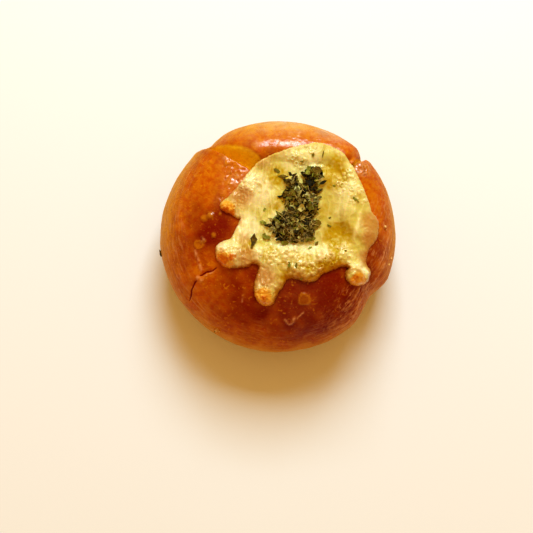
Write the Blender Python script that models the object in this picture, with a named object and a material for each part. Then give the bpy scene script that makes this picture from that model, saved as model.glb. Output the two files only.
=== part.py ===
"""A garlic cheese bun: a round glazed bun, cut crosswise into four petals and opened, with
melted cheese filling the opening, running over the petals, and dried parsley on top.

Metres, +Z up. The bun rests on z = 0, and the origin is under the middle of its outline.
The right of the bun is +X and its back is +Y.
"""

import math
import random

import bmesh
import bpy
from mathutils import Matrix, Vector
from mathutils.bvhtree import BVHTree
from mathutils.geometry import interpolate_bezier

MM = 0.001

# The crust, from the flat base up to the crest and down into the hollow between the petals.
BASE_RADIUS = 39.5 * MM
EQUATOR_RADIUS_X = 48.4 * MM
EQUATOR_RADIUS_Y = 47.4 * MM
EQUATOR_HEIGHT = 22.5 * MM
CREST_HEIGHT = 51.4 * MM
CREST_RADIUS = 25.5 * MM
CREST_CENTRE = Vector((9.0, 8.5)) * MM
CREST_SQUARENESS = 0.12
CREST_SQUARE_TURN = math.radians(40)
HOLLOW_FLOOR = 41 * MM
HOLLOW_FLOOR_SHARE = 0.35
SIDE_FULLNESS = 0.96

# Each petal: the angles that it spans, over how many degrees it rounds off at its start and its
# end, and how many millimetres it stands out and is lifted.
PETALS = {
    "right": {"spans": (-35, 42.5), "rounds": (14, 5), "stands_out": 3.4, "lift": 2.2},
    "back": {"spans": (39, 142), "rounds": (9, 30), "stands_out": 3.4, "lift": 3.4},
    "left": {"spans": (127, 222), "rounds": (9, 12), "stands_out": 3.4, "lift": 1.4},
    "front": {"spans": (210, 326), "rounds": (12, 18), "stands_out": 3.2, "lift": 1.2},
}

# Each cut, seen from above, in millimetres: its line from under the cheese out past the
# crust, and at each of these points the height of its floor and how far it opens to the left
# and right of the line, looking outwards, where it is OPEN_HEIGHT above the base.
CUTS = {
    "upper_left": {
        "line": ((2, 15), (-11.7, 24.2), (-22, 30.6), (-32.4, 37.0), (-41, 42)),
        "floor": (45, 44.5, 38, 27, 18),
        "left_open": (0.5, 0.5, 0.5, 0.6, 0.8),
        "right_open": (9.0, 9.0, 7.0, 5.5, 4.5),
    },
    "upper_right": {
        "line": ((20, 11), (31.0, 25.2), (34.0, 29.4), (37.3, 33.4), (43, 40)),
        "floor": (46, 45, 38, 26, 17),
        "left_open": (0.4, 0.4, 0.4, 0.6, 0.6),
        "right_open": (2.0, 2.5, 4.0, 5.0, 5.0),
    },
    "lower_left": {
        "line": ((-17, -12), (-25.8, -17.6), (-32.4, -20.6), (-37.8, -25.4), (-39.5, -31)),
        "floor": (44, 41, 34, 25, 19),
        "left_open": (0.2, 0.2, 0.2, 0.3, 0.3),
        "right_open": (0.3, 0.3, 0.3, 0.6, 0.8),
    },
    "lower_right": {
        "line": ((33, -8), (38.4, -15.5), (39.2, -21.0), (40.4, -27.5), (43.5, -34)),
        "floor": (44, 36, 30, 22, 17),
        "left_open": (0.5, 0.8, 0.8, 1.6, 2.0),
        "right_open": (0.8, 1.2, 1.2, 1.6, 2.0),
    },
}
CUT_FLOOR_WIDTH = 0.45 * MM
OPEN_HEIGHT = 59 * MM
CUT_TOP = 62 * MM
CUT_STATIONS = 6

# The melted cheese: a pool in the hollow, spread over the petals, with lobes that ran down.
CHEESE_CENTRE = Vector((9.0, 4.0)) * MM
CHEESE_RADIUS = 27.8 * MM
CHEESE_POOL_HEIGHT = 53.6 * MM
CHEESE_DOME = 2.0 * MM
CHEESE_THICKNESS = 1.8 * MM
CHEESE_EDGE = 0.9 * MM
CHEESE_GAP = 0.35 * MM
CHEESE_BLEND = 1.6 * MM
# On a steep side the cheese is measured across its thickness down to this cosine.
LEAST_SLOPE = 0.5

# Each lobe: the angle that it runs at, its reach in millimetres, half of its width in degrees,
# how many millimetres its tip swells, and how much narrower its neck is and wider its tip.
LOBES = {
    "back": {"at": 66, "reach": 31.6, "half_width": 34, "swells": 0.0, "pinch": 0.0},
    "left": {"at": 171, "reach": 34.2, "half_width": 10, "swells": 0.5, "pinch": 0.1},
    "lower_left": {"at": 206.5, "reach": 39.6, "half_width": 13.5, "swells": 1.7, "pinch": 0.15},
    "bottom": {"at": 247, "reach": 41.0, "half_width": 11, "swells": 1.7, "pinch": 0.15},
    "lower_right": {"at": 312.5, "reach": 38.2, "half_width": 8.6, "swells": 1.8, "pinch": 0.3},
    "right": {"at": 348, "reach": 34.0, "half_width": 20, "swells": 0.3, "pinch": 0.0},
}
NECK_RADIUS = 30.5 * MM
TIP_RADIUS = 35.5 * MM
NECK_SHARE_OF_PINCH = 0.8
PINCH_SPREAD = 1.6
SWELLING_AT = 0.86
SWELLING_SPREAD = 0.1

# The parsley, heaped in a strip across the cheese, with loose flakes round it.
HEAP_LINE = ((16.2, 24.0), (12.5, 16.5), (9.0, 9.0), (7.0, 0.5), (5.0, -5.0))
HEAP_HALF_WIDTHS = (3.2 * MM, 8.5 * MM)
HEAP_HEIGHT = 1.6 * MM
HEAP_WIDENING = 1.4
HEAP_FLAKES = 72
LOOSE_FLAKES = 12
LOOSE_FLAKE_SHARES = (0.35, 0.9)
FLAKE_LENGTH = (2.6 * MM, 5.2 * MM)
FLAKE_WIDTH_SHARE = (0.55, 0.95)
FLAKE_BEND_SHARE = (-0.25, 0.25)
FLAKE_THICKNESS = 0.5 * MM
HEAP_FLAKE_TILT, HEAP_FLAKE_RISE = 75, (0.0 * MM, 0.9 * MM)
LOOSE_FLAKE_TILT, LOOSE_FLAKE_RISE = 25, (-0.2 * MM, 0.3 * MM)
FLAKE_SIDES = 4
FLAKE_SEED = 7

CRUST_COLOUR = (0.50, 0.13, 0.015, 1)
CHEESE_COLOUR = (0.86, 0.66, 0.26, 1)

BUN_SEGMENTS = 84
BUN_RINGS = 28
# The shares of the rings, from the middle of the base up, where the crust reaches the edge of
# its base, its equator, its crest and the middle of the hollow.
CRUST_STATIONS = (0.08, 0.34, 0.72, 1.0)
CHEESE_SEGMENTS = 104
TOP_RINGS, TOP_RING_SPACING = 10, 1.35
UNDER_RINGS, UNDER_RING_SPACING = 7, 1.2
CLEARING_PASSES = 3

DOWN = Vector((0, 0, -1))
OVERHEAD = 100 * MM


def smooth(share):
    """0 to 1, level at both ends."""
    share = min(1.0, max(0.0, share))
    return share * share * (3 - 2 * share)


def turn_between(angle, start):
    """The signed angle from start to angle, in degrees, from -180 to 180."""
    return (angle - start + 180) % 360 - 180


def direction(angle):
    return Vector((math.cos(angle), math.sin(angle)))


def curve_points(points, per_span):
    """A smooth line through points given in millimetres, as plan vectors in metres."""
    knots = [Vector((x, y, 0)) * MM for x, y in points]
    ends = [knots[0]] + knots + [knots[-1]]
    line = []
    for before, start, end, after in zip(ends, ends[1:], ends[2:], ends[3:]):
        handles = (start + (end - before) / 6, end - (after - start) / 6)
        span = interpolate_bezier(start, *handles, end, per_span + 1)
        line += [Vector(point[:2]) for point in span[:-1]]
    return line + [Vector(knots[-1][:2])]


def petal_swell(angle):
    """How far the crust stands out and is lifted at an angle, rounded off towards the cuts."""
    out = lift = 0.0
    for petal in PETALS.values():
        start, end = petal["spans"]
        start_round, end_round = petal["rounds"]
        middle = (start + end) / 2
        across = turn_between(math.degrees(angle), middle) + middle
        fill = smooth((across - start) / start_round) * smooth((end - across) / end_round)
        out += petal["stands_out"] * MM * fill
        lift += petal["lift"] * MM * fill
    return out, lift


def equator_point(angle):
    out, _ = petal_swell(angle)
    around = direction(angle)
    return Vector(
        (around.x * (EQUATOR_RADIUS_X + out), around.y * (EQUATOR_RADIUS_Y + out))
    )


def crest_point(angle):
    """The crest is a rounded square, with its corners towards the cuts."""
    corner = math.cos(4 * (angle - CREST_SQUARE_TURN))
    radius = CREST_RADIUS * (1 + CREST_SQUARENESS * corner)
    return CREST_CENTRE + direction(angle) * radius


def crust_point(share, angle):
    """A point of the whole crust before it is cut, from share 0, the middle of the base, to
    share 1, the middle of the hollow."""
    base_share, equator_share, crest_share, _ = CRUST_STATIONS
    _, lift = petal_swell(angle)
    equator, crest = equator_point(angle), crest_point(angle)
    crest_height = CREST_HEIGHT + lift
    base = direction(angle) * BASE_RADIUS
    if share <= base_share:
        return (*base * share / base_share, 0.0)
    if share <= equator_share:
        turn = (share - base_share) / (equator_share - base_share) * math.pi / 2
        plan = base.lerp(equator, math.sin(turn))
        return (*plan, EQUATOR_HEIGHT * (1 - math.cos(turn)))
    if share <= crest_share:
        turn = (share - equator_share) / (crest_share - equator_share) * math.pi / 2
        plan = crest.lerp(equator, math.cos(turn) ** SIDE_FULLNESS)
        rise = math.sin(turn) ** SIDE_FULLNESS
        return (*plan, EQUATOR_HEIGHT + (crest_height - EQUATOR_HEIGHT) * rise)
    inward = (share - crest_share) / (1 - crest_share)
    plan = crest.lerp(CREST_CENTRE, inward)
    fall = smooth(inward / (1 - HOLLOW_FLOOR_SHARE))
    return (*plan, crest_height + (HOLLOW_FLOOR - crest_height) * fall)


def mesh_object(name, bm, collection):
    bmesh.ops.recalc_face_normals(bm, faces=bm.faces)
    mesh = bpy.data.meshes.new(name)
    bm.to_mesh(mesh)
    bm.free()
    obj = bpy.data.objects.new(name, mesh)
    collection.objects.link(obj)
    return obj


def new_collection(name):
    collection = bpy.data.collections.new(name)
    bpy.context.scene.collection.children.link(collection)
    return collection


def finish(obj, material):
    obj.data.materials.clear()
    obj.data.materials.append(material)
    obj.data.shade_smooth()
    obj.data.set_sharp_from_angle(angle=math.radians(40))


def plain_material(name, colour, roughness):
    material = bpy.data.materials.new(name)
    material.use_nodes = True
    shader = material.node_tree.nodes["Principled BSDF"]
    shader.inputs["Base Color"].default_value = colour
    shader.inputs["Roughness"].default_value = roughness
    shader.inputs["Metallic"].default_value = 0.0
    return material


def whole_crust():
    """A sphere drawn into the form of the uncut bun, with its hollow on top."""
    bm = bmesh.new()
    bmesh.ops.create_uvsphere(
        bm, u_segments=BUN_SEGMENTS, v_segments=BUN_RINGS, radius=1
    )
    for vert in bm.verts:
        share = 0.5 + math.asin(max(-1, min(1, vert.co.z))) / math.pi
        vert.co = crust_point(share, math.atan2(vert.co.y, vert.co.x))
    bm.normal_update()
    return bm


def along_cut(values, station):
    """A value at a station of a cut, in metres, between the ones given at its points."""
    span = min(len(values) - 2, station // CUT_STATIONS)
    part = station / CUT_STATIONS - span
    return (values[span] + (values[span + 1] - values[span]) * part) * MM


def blade(name, cut, collection):
    """A cutter along the line of a cut: a wedge that narrows to a thin floor."""
    line = curve_points(cut["line"], CUT_STATIONS)
    last = len(line) - 1
    bm = bmesh.new()
    bmesh.ops.create_cube(bm, size=1)
    along = [
        edge for edge in bm.edges if abs(edge.verts[0].co.x - edge.verts[1].co.x) > 0.5
    ]
    bmesh.ops.subdivide_edges(bm, edges=along, cuts=last - 1, use_grid_fill=True)
    for vert in bm.verts:
        station = round((vert.co.x + 0.5) * last)
        here = line[station]
        ahead = line[min(last, station + 1)] - line[max(0, station - 1)]
        to_left = Vector((-ahead.y, ahead.x)).normalized()
        floor = along_cut(cut["floor"], station)
        width = CUT_FLOOR_WIDTH / 2
        if vert.co.z > 0:
            opens = cut["left_open"] if vert.co.y > 0 else cut["right_open"]
            widening = (CUT_TOP - floor) / (OPEN_HEIGHT - floor)
            width += along_cut(opens, station) * widening
        place = here + to_left * width * (1 if vert.co.y > 0 else -1)
        vert.co = (*place, CUT_TOP if vert.co.z > 0 else floor)
    obj = mesh_object(name, bm, collection)
    obj.hide_render = True
    obj.display_type = "WIRE"
    return obj


def make_bun(collection, cutters, material):
    bun = mesh_object("bun", whole_crust(), collection)
    for name, cut in CUTS.items():
        cutting = bun.modifiers.new(name, "BOOLEAN")
        cutting.operation = "DIFFERENCE"
        cutting.object = blade("cut_" + name, cut, cutters)
    finish(bun, material)
    return bun


class Crust:
    """The height of the uncut crust, and how steep it is, at a place seen from above."""

    def __init__(self):
        bm = whole_crust()
        self.tree = BVHTree.FromBMesh(bm)
        bm.free()

    def at(self, place):
        above = Vector((place.x, place.y, OVERHEAD))
        hit, normal, _, _ = self.tree.ray_cast(above, DOWN)
        return hit.z, max(LEAST_SLOPE, normal.z)


def lobe_reach(angle):
    """How far the cheese reaches at an angle, in degrees, and how much its tip swells."""
    reach, swelling = CHEESE_RADIUS, 0.0
    for lobe in LOBES.values():
        off = turn_between(angle, lobe["at"]) / lobe["half_width"]
        share = math.exp(-(abs(off) ** 3))
        reach += (lobe["reach"] * MM - CHEESE_RADIUS) * share
        swelling += lobe["swells"] * MM * share
    return reach, swelling


def pinched(angle, radius):
    """The angle, drawn in where a lobe has its neck and spread where it has its tip."""
    out = (radius - NECK_RADIUS) / (TIP_RADIUS - NECK_RADIUS)
    widening = smooth(out) - NECK_SHARE_OF_PINCH * math.exp(-(out**2) * 2)
    shift = 0.0
    for lobe in LOBES.values():
        off = turn_between(angle, lobe["at"])
        fade = math.exp(-((off / lobe["half_width"] / PINCH_SPREAD) ** 4))
        shift += off * lobe["pinch"] * widening * fade
    return angle + shift


def heap_half_width(index, line):
    start, end = HEAP_HALF_WIDTHS
    return start + (end - start) * smooth(index / (len(line) - 1) * HEAP_WIDENING)


def heap_rise(place, line):
    """The low mound under the parsley."""
    rises = (
        math.exp(-(((place - point).length / heap_half_width(index, line)) ** 2))
        for index, point in enumerate(line)
    )
    return HEAP_HEIGHT * max(rises)


def cheese_heights(crust, heap, share, angle):
    """The plan place of a point of the cheese, with the height of its underside and top."""
    reach, swelling = lobe_reach(angle)
    radius = reach * share
    place = CHEESE_CENTRE + direction(math.radians(pinched(angle, radius))) * radius
    ground, steep = crust.at(place)
    under = ground + CHEESE_GAP / steep
    edge = math.sqrt(max(0.0, 1 - share**6))
    tip = swelling * math.exp(-(((share - SWELLING_AT) / SWELLING_SPREAD) ** 2))
    thick = CHEESE_EDGE + (CHEESE_THICKNESS - CHEESE_EDGE + tip) * edge
    over = under + thick / steep
    from_middle = (place - CHEESE_CENTRE).length / CHEESE_RADIUS
    pool = CHEESE_POOL_HEIGHT - CHEESE_DOME * from_middle**2
    higher = max(over, pool)
    blend = max(0.0, 1 - abs(over - pool) / CHEESE_BLEND / 2)
    top = higher + CHEESE_BLEND * blend * blend / 4
    return place, under, max(top, under + CHEESE_EDGE) + heap_rise(place, heap)


def clear_of_crust(faces, crust):
    """Raises the corners of faces that would come nearer to the crust between them."""
    for face in faces:
        corners = [vert.co.copy() for vert in face.verts]
        middle = sum(corners, Vector()) / len(corners)
        halfway = [(a + b) / 2 for a, b in zip(corners, corners[1:] + corners[:1])]
        points = (middle, *halfway)
        short = max(crust.at(point.xy)[0] + CHEESE_GAP - point.z for point in points)
        for vert in face.verts:
            vert.co.z += max(0.0, short)


def cheese_core(crust, heap):
    """Two fans of rings, one over and one under, that share their rim."""
    bm = bmesh.new()

    def ring(share, top):
        verts = []
        for step in range(CHEESE_SEGMENTS):
            place, under, over = cheese_heights(
                crust, heap, share, 360 * step / CHEESE_SEGMENTS
            )
            verts.append(bm.verts.new((*place, over if top else under)))
        return verts

    def sheet(rings, centre):
        faces = []
        for outer, inner in zip(rings, rings[1:]):
            for step in range(CHEESE_SEGMENTS):
                after = (step + 1) % CHEESE_SEGMENTS
                corners = (outer[step], outer[after], inner[after], inner[step])
                faces.append(bm.faces.new(corners))
        middle = bm.verts.new(centre)
        for step in range(CHEESE_SEGMENTS):
            after = (step + 1) % CHEESE_SEGMENTS
            faces.append(bm.faces.new((rings[-1][step], rings[-1][after], middle)))
        return faces

    place, under, over = cheese_heights(crust, heap, 0, 0)
    shares = [1 - (step / TOP_RINGS) ** TOP_RING_SPACING for step in range(TOP_RINGS)]
    top = [ring(share, True) for share in shares]
    shares = [1 - (step / UNDER_RINGS) ** UNDER_RING_SPACING for step in range(UNDER_RINGS)]
    bottom = [ring(share, False) for share in shares]
    sheet(top, (*place, over))
    underside = sheet(bottom, (*place, under))
    underside = bmesh.ops.triangulate(bm, faces=underside)["faces"]
    for _ in range(CLEARING_PASSES):
        clear_of_crust(underside, crust)
    for step in range(CHEESE_SEGMENTS):
        after = (step + 1) % CHEESE_SEGMENTS
        bm.faces.new((top[0][step], top[0][after], bottom[0][after], bottom[0][step]))
    return bm


def flake(name, place, most_tilt, rng, collection):
    """A thin bent bit of leaf, stuck into what it lies on."""
    bm = bmesh.new()
    bmesh.ops.create_cone(
        bm,
        cap_ends=True,
        cap_tris=True,
        segments=FLAKE_SIDES,
        radius1=0.5,
        radius2=0.5,
        depth=1,
    )
    length = rng.uniform(*FLAKE_LENGTH)
    width = length * rng.uniform(*FLAKE_WIDTH_SHARE)
    bend = length * rng.uniform(*FLAKE_BEND_SHARE)
    for vert in bm.verts:
        x, y, z = vert.co
        rise = bend * (abs(x) * 2) ** 2
        vert.co = (x * length, y * width, z * FLAKE_THICKNESS + rise)
    tilt = math.radians(rng.uniform(-most_tilt, most_tilt))
    turn = Matrix.Rotation(rng.uniform(0, math.tau), 3, "Z")
    bmesh.ops.rotate(bm, matrix=turn @ Matrix.Rotation(tilt, 3, "Y"), verts=bm.verts)
    bmesh.ops.translate(bm, vec=place, verts=bm.verts)
    mesh_object(name, bm, collection)


def scatter_flakes(core_tree, heap, collection):
    """The heap's flakes lie thick along its line, and the loose ones anywhere else on top."""
    rng = random.Random(FLAKE_SEED)

    def drop(name, plan, most_tilt, rises):
        hit = core_tree.ray_cast(Vector((*plan, OVERHEAD)), DOWN)[0]
        place = hit + Vector((0, 0, rng.uniform(*rises)))
        flake(name, place, most_tilt, rng, collection)

    for index in range(HEAP_FLAKES):
        along = rng.randrange(len(heap))
        off = direction(rng.uniform(0, math.tau)) * heap_half_width(along, heap)
        plan = heap[along] + off * rng.random() ** 0.7
        drop(f"heap_flake_{index}", plan, HEAP_FLAKE_TILT, HEAP_FLAKE_RISE)
    for index in range(LOOSE_FLAKES):
        off = direction(rng.uniform(0, math.tau)) * CHEESE_RADIUS
        plan = CHEESE_CENTRE + off * rng.uniform(*LOOSE_FLAKE_SHARES)
        drop(f"loose_flake_{index}", plan, LOOSE_FLAKE_TILT, LOOSE_FLAKE_RISE)


def drop_scraps(mesh):
    """Leaves the largest connected piece of a mesh."""
    bm = bmesh.new()
    bm.from_mesh(mesh)
    left = set(bm.verts)
    pieces = []
    while left:
        piece = {left.pop()}
        to_follow = list(piece)
        while to_follow:
            vert = to_follow.pop()
            near = {edge.other_vert(vert) for edge in vert.link_edges} - piece
            piece |= near
            to_follow += near
        left -= piece
        pieces.append(piece)
    pieces.sort(key=len)
    scraps = [vert for piece in pieces[:-1] for vert in piece]
    bmesh.ops.delete(bm, geom=scraps, context="VERTS")
    bm.to_mesh(mesh)
    bm.free()


def make_cheese(collection, material):
    """The pool and its lobes, with the parsley fused on."""
    heap = curve_points(HEAP_LINE, 6)
    bm = cheese_core(Crust(), heap)
    core_tree = BVHTree.FromBMesh(bm)
    cheese = mesh_object("cheese", bm, collection)
    flakes = new_collection("parsley flakes")
    scatter_flakes(core_tree, heap, flakes)
    joining = cheese.modifiers.new("parsley", "BOOLEAN")
    joining.operation = "UNION"
    joining.operand_type = "COLLECTION"
    joining.collection = flakes
    joining.solver = "MANIFOLD"
    graph = bpy.context.evaluated_depsgraph_get()
    joined = bpy.data.meshes.new_from_object(cheese.evaluated_get(graph))
    cheese.modifiers.clear()
    cheese.data = joined
    drop_scraps(joined)
    for obj in list(flakes.objects):
        bpy.data.objects.remove(obj)
    bpy.data.collections.remove(flakes)
    finish(cheese, material)
    return cheese


def main():
    for obj in list(bpy.data.objects):
        bpy.data.objects.remove(obj)
    food = new_collection("garlic cheese bun")
    cutters = new_collection("cutters")
    cutters.hide_render = True
    make_bun(food, cutters, plain_material("crust", CRUST_COLOUR, 0.3))
    make_cheese(food, plain_material("melted cheese", CHEESE_COLOUR, 0.35))


main()
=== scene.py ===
"""The looks of a garlic cheese bun: its glazed crust, the cheese melted over it, the dried
parsley, and the crumbs that cling to it.

It is laid out as an add-on and run as a script. Metres, +Z up; the right of the bun is +X and
its back is +Y. Sizes in the tables below are in millimetres, and angles in degrees.
"""

import math
import random
from functools import lru_cache

import bmesh
import bpy
import numpy as np
from bpy.props import FloatProperty, FloatVectorProperty, IntProperty, PointerProperty
from mathutils import Matrix, Vector, noise
from mathutils.bvhtree import BVHTree
from mathutils.geometry import delaunay_2d_cdt, interpolate_bezier
from mathutils.kdtree import KDTree


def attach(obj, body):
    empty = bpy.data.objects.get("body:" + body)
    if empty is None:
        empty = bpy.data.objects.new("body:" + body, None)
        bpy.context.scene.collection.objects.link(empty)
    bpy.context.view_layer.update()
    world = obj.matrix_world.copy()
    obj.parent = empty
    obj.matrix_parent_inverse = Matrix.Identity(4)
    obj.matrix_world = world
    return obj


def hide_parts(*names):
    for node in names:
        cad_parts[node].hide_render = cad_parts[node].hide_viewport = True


bl_info = {
    "name": "Garlic cheese bun",
    "version": (1, 0, 0),
    "blender": (4, 5, 0),
    "location": "3D View > Sidebar > Bun",
    "description": "Makes the crust, the melted cheese and the parsley of a garlic cheese bun",
    "category": "Object",
}

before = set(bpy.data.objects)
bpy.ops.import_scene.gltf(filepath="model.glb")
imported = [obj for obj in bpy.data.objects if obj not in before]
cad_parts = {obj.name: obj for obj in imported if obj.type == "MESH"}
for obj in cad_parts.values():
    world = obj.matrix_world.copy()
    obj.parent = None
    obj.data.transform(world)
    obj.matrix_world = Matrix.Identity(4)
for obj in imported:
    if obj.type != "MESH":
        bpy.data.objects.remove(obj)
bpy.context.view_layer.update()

MM = 0.001


def table_of_spots(columns, table):
    """Each row of a table as named values, after its place seen from above."""
    names = columns.split()
    return {name: {"at": row[:2], **dict(zip(names, row[2:]))} for name, row in table.items()}


def table_of_lines(table):
    """Each row of a table of lines as named values: half width, rise, and the line's points."""
    return {
        name: {"half_width": half_width, "rise": rise, "line": points}
        for name, (half_width, rise, *points) in table.items()
    }


# ---------------------------------------------------------------------------------------
# Sizes and places


# The form of the crust, from the flat base up to the crest, and down into the hollow between
# the petals.
BASE_RADIUS = 39.5 * MM
EQUATOR_RADIUS_X = 48.4 * MM
EQUATOR_RADIUS_Y = 47.4 * MM
EQUATOR_HEIGHT = 22.5 * MM
CREST_HEIGHT = 51.4 * MM
CREST_RADIUS = 25.5 * MM
CREST_CENTRE = Vector((9.0, 8.5)) * MM
CREST_SQUARENESS = 0.12
CREST_SQUARE_TURN = math.radians(40)
HOLLOW_FLOOR = 41 * MM
HOLLOW_FLOOR_SHARE = 0.35
SIDE_FULLNESS = 0.96
CRUST_STATIONS = (0.08, 0.34, 0.72, 1.0)

# The petals: the angles that each spans, the angles over which its ends round off, and how far
# it stands out and is lifted. A lift may round off over angles of its own.
PETALS = {
    "right": {"spans": (-35, 42.5), "rounds": (14, 5), "stands_out": 3.4, "lift": 2.2},
    "back": {
        "spans": (39, 142),
        "rounds": (9, 30),
        "lift_rounds": (9, 14),
        "stands_out": 3.4,
        "lift": 3.4,
    },
    "left": {"spans": (127, 222), "rounds": (9, 12), "stands_out": 3.4, "lift": 1.4},
    "front": {"spans": (210, 326), "rounds": (12, 18), "stands_out": 3.2, "lift": 1.2},
}

# Each cut, seen from above: its line from under the cheese out past the crust, and at each of
# these points the height of its floor and how far it opens to the left and right of the line.
# Its walls wander by so much, as torn bread does.
CUTS = {
    "upper_left": {
        "line": ((2, 15), (-11.7, 24.2), (-22, 30.6), (-32.4, 37.0), (-41, 42)),
        "floor": (46, 47, 42.5, 33, 22),
        "left_open": (0.5, 0.5, 0.5, 0.6, 0.8),
        "right_open": (10.5, 10.5, 8.5, 6.0, 4.5),
        "wanders": 0.2,
    },
    "upper_right": {
        "line": ((20, 11), (31.0, 25.2), (34.0, 29.4), (37.3, 33.4), (43, 40)),
        "floor": (46, 45, 38, 26, 17),
        "left_open": (0.4, 0.4, 0.4, 0.6, 0.6),
        "right_open": (2.0, 2.5, 4.0, 5.0, 5.0),
        "wanders": 0.35,
    },
    "lower_left": {
        "line": ((-17, -12), (-25.8, -17.6), (-32.4, -20.6), (-37.8, -25.4), (-39.5, -31)),
        "floor": (44, 41, 34, 25, 19),
        "left_open": (0.3, 0.3, 0.4, 0.4, 0.4),
        "right_open": (0.3, 0.3, 0.4, 0.7, 0.8),
        "wanders": 0.55,
    },
    "lower_right": {
        "line": ((33, -8), (38.4, -15.5), (39.2, -21.0), (40.4, -27.5), (43.5, -34)),
        "floor": (50, 46, 39, 26, 18),
        "left_open": (0.3, 0.5, 1.0, 1.6, 2.0),
        "right_open": (0.3, 0.5, 1.2, 1.6, 2.0),
        "wanders": 0.45,
    },
}
CUT_FLOOR_WIDTH = 0.5 * MM
# The height at which a cut opens as far as stated, and the top of what cuts it.
OPEN_HEIGHT = 59 * MM
CUT_TOP = 62 * MM
CUT_STATIONS = 16
WANDER_SIZE = 1.6 * MM

CRUST_SEGMENTS, CRUST_RINGS = 300, 130
# Level faces below this height are the flat base.
BASE_SLACK = 0.35 * MM

# The unevenness of the crust: the size of its features, how far they rise, and a seed.
LUMPS, DIMPLES, FINE_PORES = (13, 0.34, 3.1), (3.4, 0.12, 7.7), (1.15, 0.06, 1.3)
STREAK_LENGTH, STREAK_HEIGHT, STREAK_RISE = 9 * MM, 1.15 * MM, 0.13 * MM
CUT_ROUGHNESS = (1.3, 0.18, 9.4)
# How far inside the uncut crust its skin gives way to the bread of a cut.
SKIN_DEPTH = 1.2 * MM
# A crease of the skin wavers by so much, over so much.
CREASE_WAVER, CREASE_WAVER_SIZE = 0.4 * MM, 1.5 * MM

# Blisters of the crust: centre, radius, rise, and how much of each is a ring.
BLISTERS = table_of_spots("radius rise ring", {
    "front": (10.7, -31.5, 2.7, 0.8, 0.25),
    "left": (-33.8, -8.0, 2.2, 0.6, 0.6),
    "left_second": (-31.6, -6.4, 1.0, 0.7, 0.2),
    "left_top": (-29.2, 28.2, 1.0, 0.45, 0),
    "left_top_low": (-29.2, 25.2, 0.8, 0.35, 0),
    "left_big": (-29.0, 4.4, 1.6, 1.0, 0),
    "left_big_tail": (-31.4, 3.4, 1.7, 0.5, 0),
    "left_low": (-27.2, -4.4, 1.2, 0.7, 0),
    "left_inner": (-24.7, 4.8, 0.8, 0.5, 0),
    "left_upper": (-20.5, 17.4, 0.8, 0.4, 0),
    "ridge": (-22.0, 27.0, 1.1, 0.5, 0),
})

# Lines where the skin of the crust is folded or peels up: half width, rise and points.
CREASES = table_of_lines({
    "left_fold": (0.55, 0.35, (-35.4, -9.9), (-32.4, -19.5)),
    "peel": (0.4, 0.45, (2.4, -39.1), (4.5, -41.1), (5.8, -40.7)),
    "peel_right": (0.4, 0.5, (5.2, -41.2), (6.2, -40.0), (7.0, -38.3)),
    "hair": (0.3, 0.5, (-32.8, -4.2), (-31.1, -6.5)),
    "bridge": (0.8, 0.5, (-34.9, -21.0), (-31.8, -23.0)),
    "crack_lip": (0.4, 0.3, (-26.4, -18.6), (-29.4, -20.2), (-32.0, -21.4)),
    "back_curl": (0.5, 0.4, (8.2, 38.4), (9.4, 40.6)),
    "front_scratch": (0.35, 0.25, (-14.9, -29.0), (-15.8, -33.5)),
    "flank_second": (0.35, 0.45, (28.3, -35.8), (31.2, -31.4), (33.8, -27.1), (35.5, -24.1)),
    "flank_third": (0.35, 0.45, (31.2, -37.5), (33.7, -33.6), (35.3, -29.5), (36.6, -26.1)),
    "flank_fifth": (0.35, 0.3, (26.6, -41.6), (30.9, -38.6), (33.9, -35.2)),
    "front_nick": (0.3, 0.3, (7.8, -39.1), (10.8, -36.4)),
    "right_second": (0.3, 0.25, (41.7, -18.5), (44.2, -13.6), (46.0, -8.3), (47.5, -2.9)),
    "right_low": (0.35, 0.3, (40.3, -23.0), (43.2, -19.0), (46.2, -13.9)),
    # The pale line of the ridge corner is a painted highlight on its lit edge.
    "lit_ridge_corner": (0.6, 0.4, (-23.9, 29.6), (-21.6, 28.2)),
})

# Thin cracks in the skin of the crust, as above; the dark in them is painted shade.
CRACKS = table_of_lines({
    "lower_left": (
        0.42, -0.5, (-25.6, -17.5), (-27.9, -19.2), (-30.4, -19.5), (-32.4, -20.6), (-33.8, -21.0),
    ),
    "lower_left_end": (
        0.42, -0.5, (-34.4, -22.3), (-35.7, -23.4), (-37.2, -26.0), (-37.5, -28.2), (-38.6, -30.6),
    ),
})

# Places where the skin of the crust is crumpled: centre, radius and rise.
CRUMPLED = table_of_spots("radius rise", {
    "left_by_the_cheese": (-18.0, 20.5, 7.0, 0.5),
    "left_tip": (-24.0, 11.0, 4.0, 0.35),
    "left_edge": (-23.0, 27.5, 4.0, 0.2),
    "upper_right": (34.8, 23.6, 4.2, 1.0),
    "lower_right": (33.0, -27.0, 9.5, 0.2),
    "back_crest": (4.0, 37.0, 12.0, 0.12),
    "back_crest_right": (20.0, 36.5, 8.0, 0.16),
})
CRUMPLE_SIZE = 1.25 * MM

# Glossy places of the glaze. Here and below: centre, radius and strength.
GLOSSY = table_of_spots("radius strength", {
    "back_crest": (2.0, 38.5, 13.0, 0.8),
    "back_crest_right": (20.0, 36.5, 9.0, 0.9),
    "back_crest_left": (-11.0, 35.0, 6.0, 1.0),
    "left_by_the_cheese": (-19.0, 19.5, 8.0, 1.0),
    "left_ridge": (-23.0, 28.0, 4.5, 0.9),
    "upper_right": (34.4, 23.6, 5.0, 1.0),
    "front": (8.0, -32.0, 14.0, 0.45),
    "left_big_blister": (-28.4, 4.9, 1.2, 1.0),
    "left_blister": (-32.4, -6.6, 1.2, 0.8),
    "left_tip": (-24.0, 11.0, 4.5, 0.9),
})

# The back side of the upper left cut is drawn smooth and round, in so many steps, from so far
# behind its line.
ROUNDED = table_of_spots("radius strength", {
    "upper_left": (-22.0, 32.5, 10.0, 1.0),
})
ROUNDING_STEPS = 60
ROUNDED_FROM = 0.9 * MM

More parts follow.
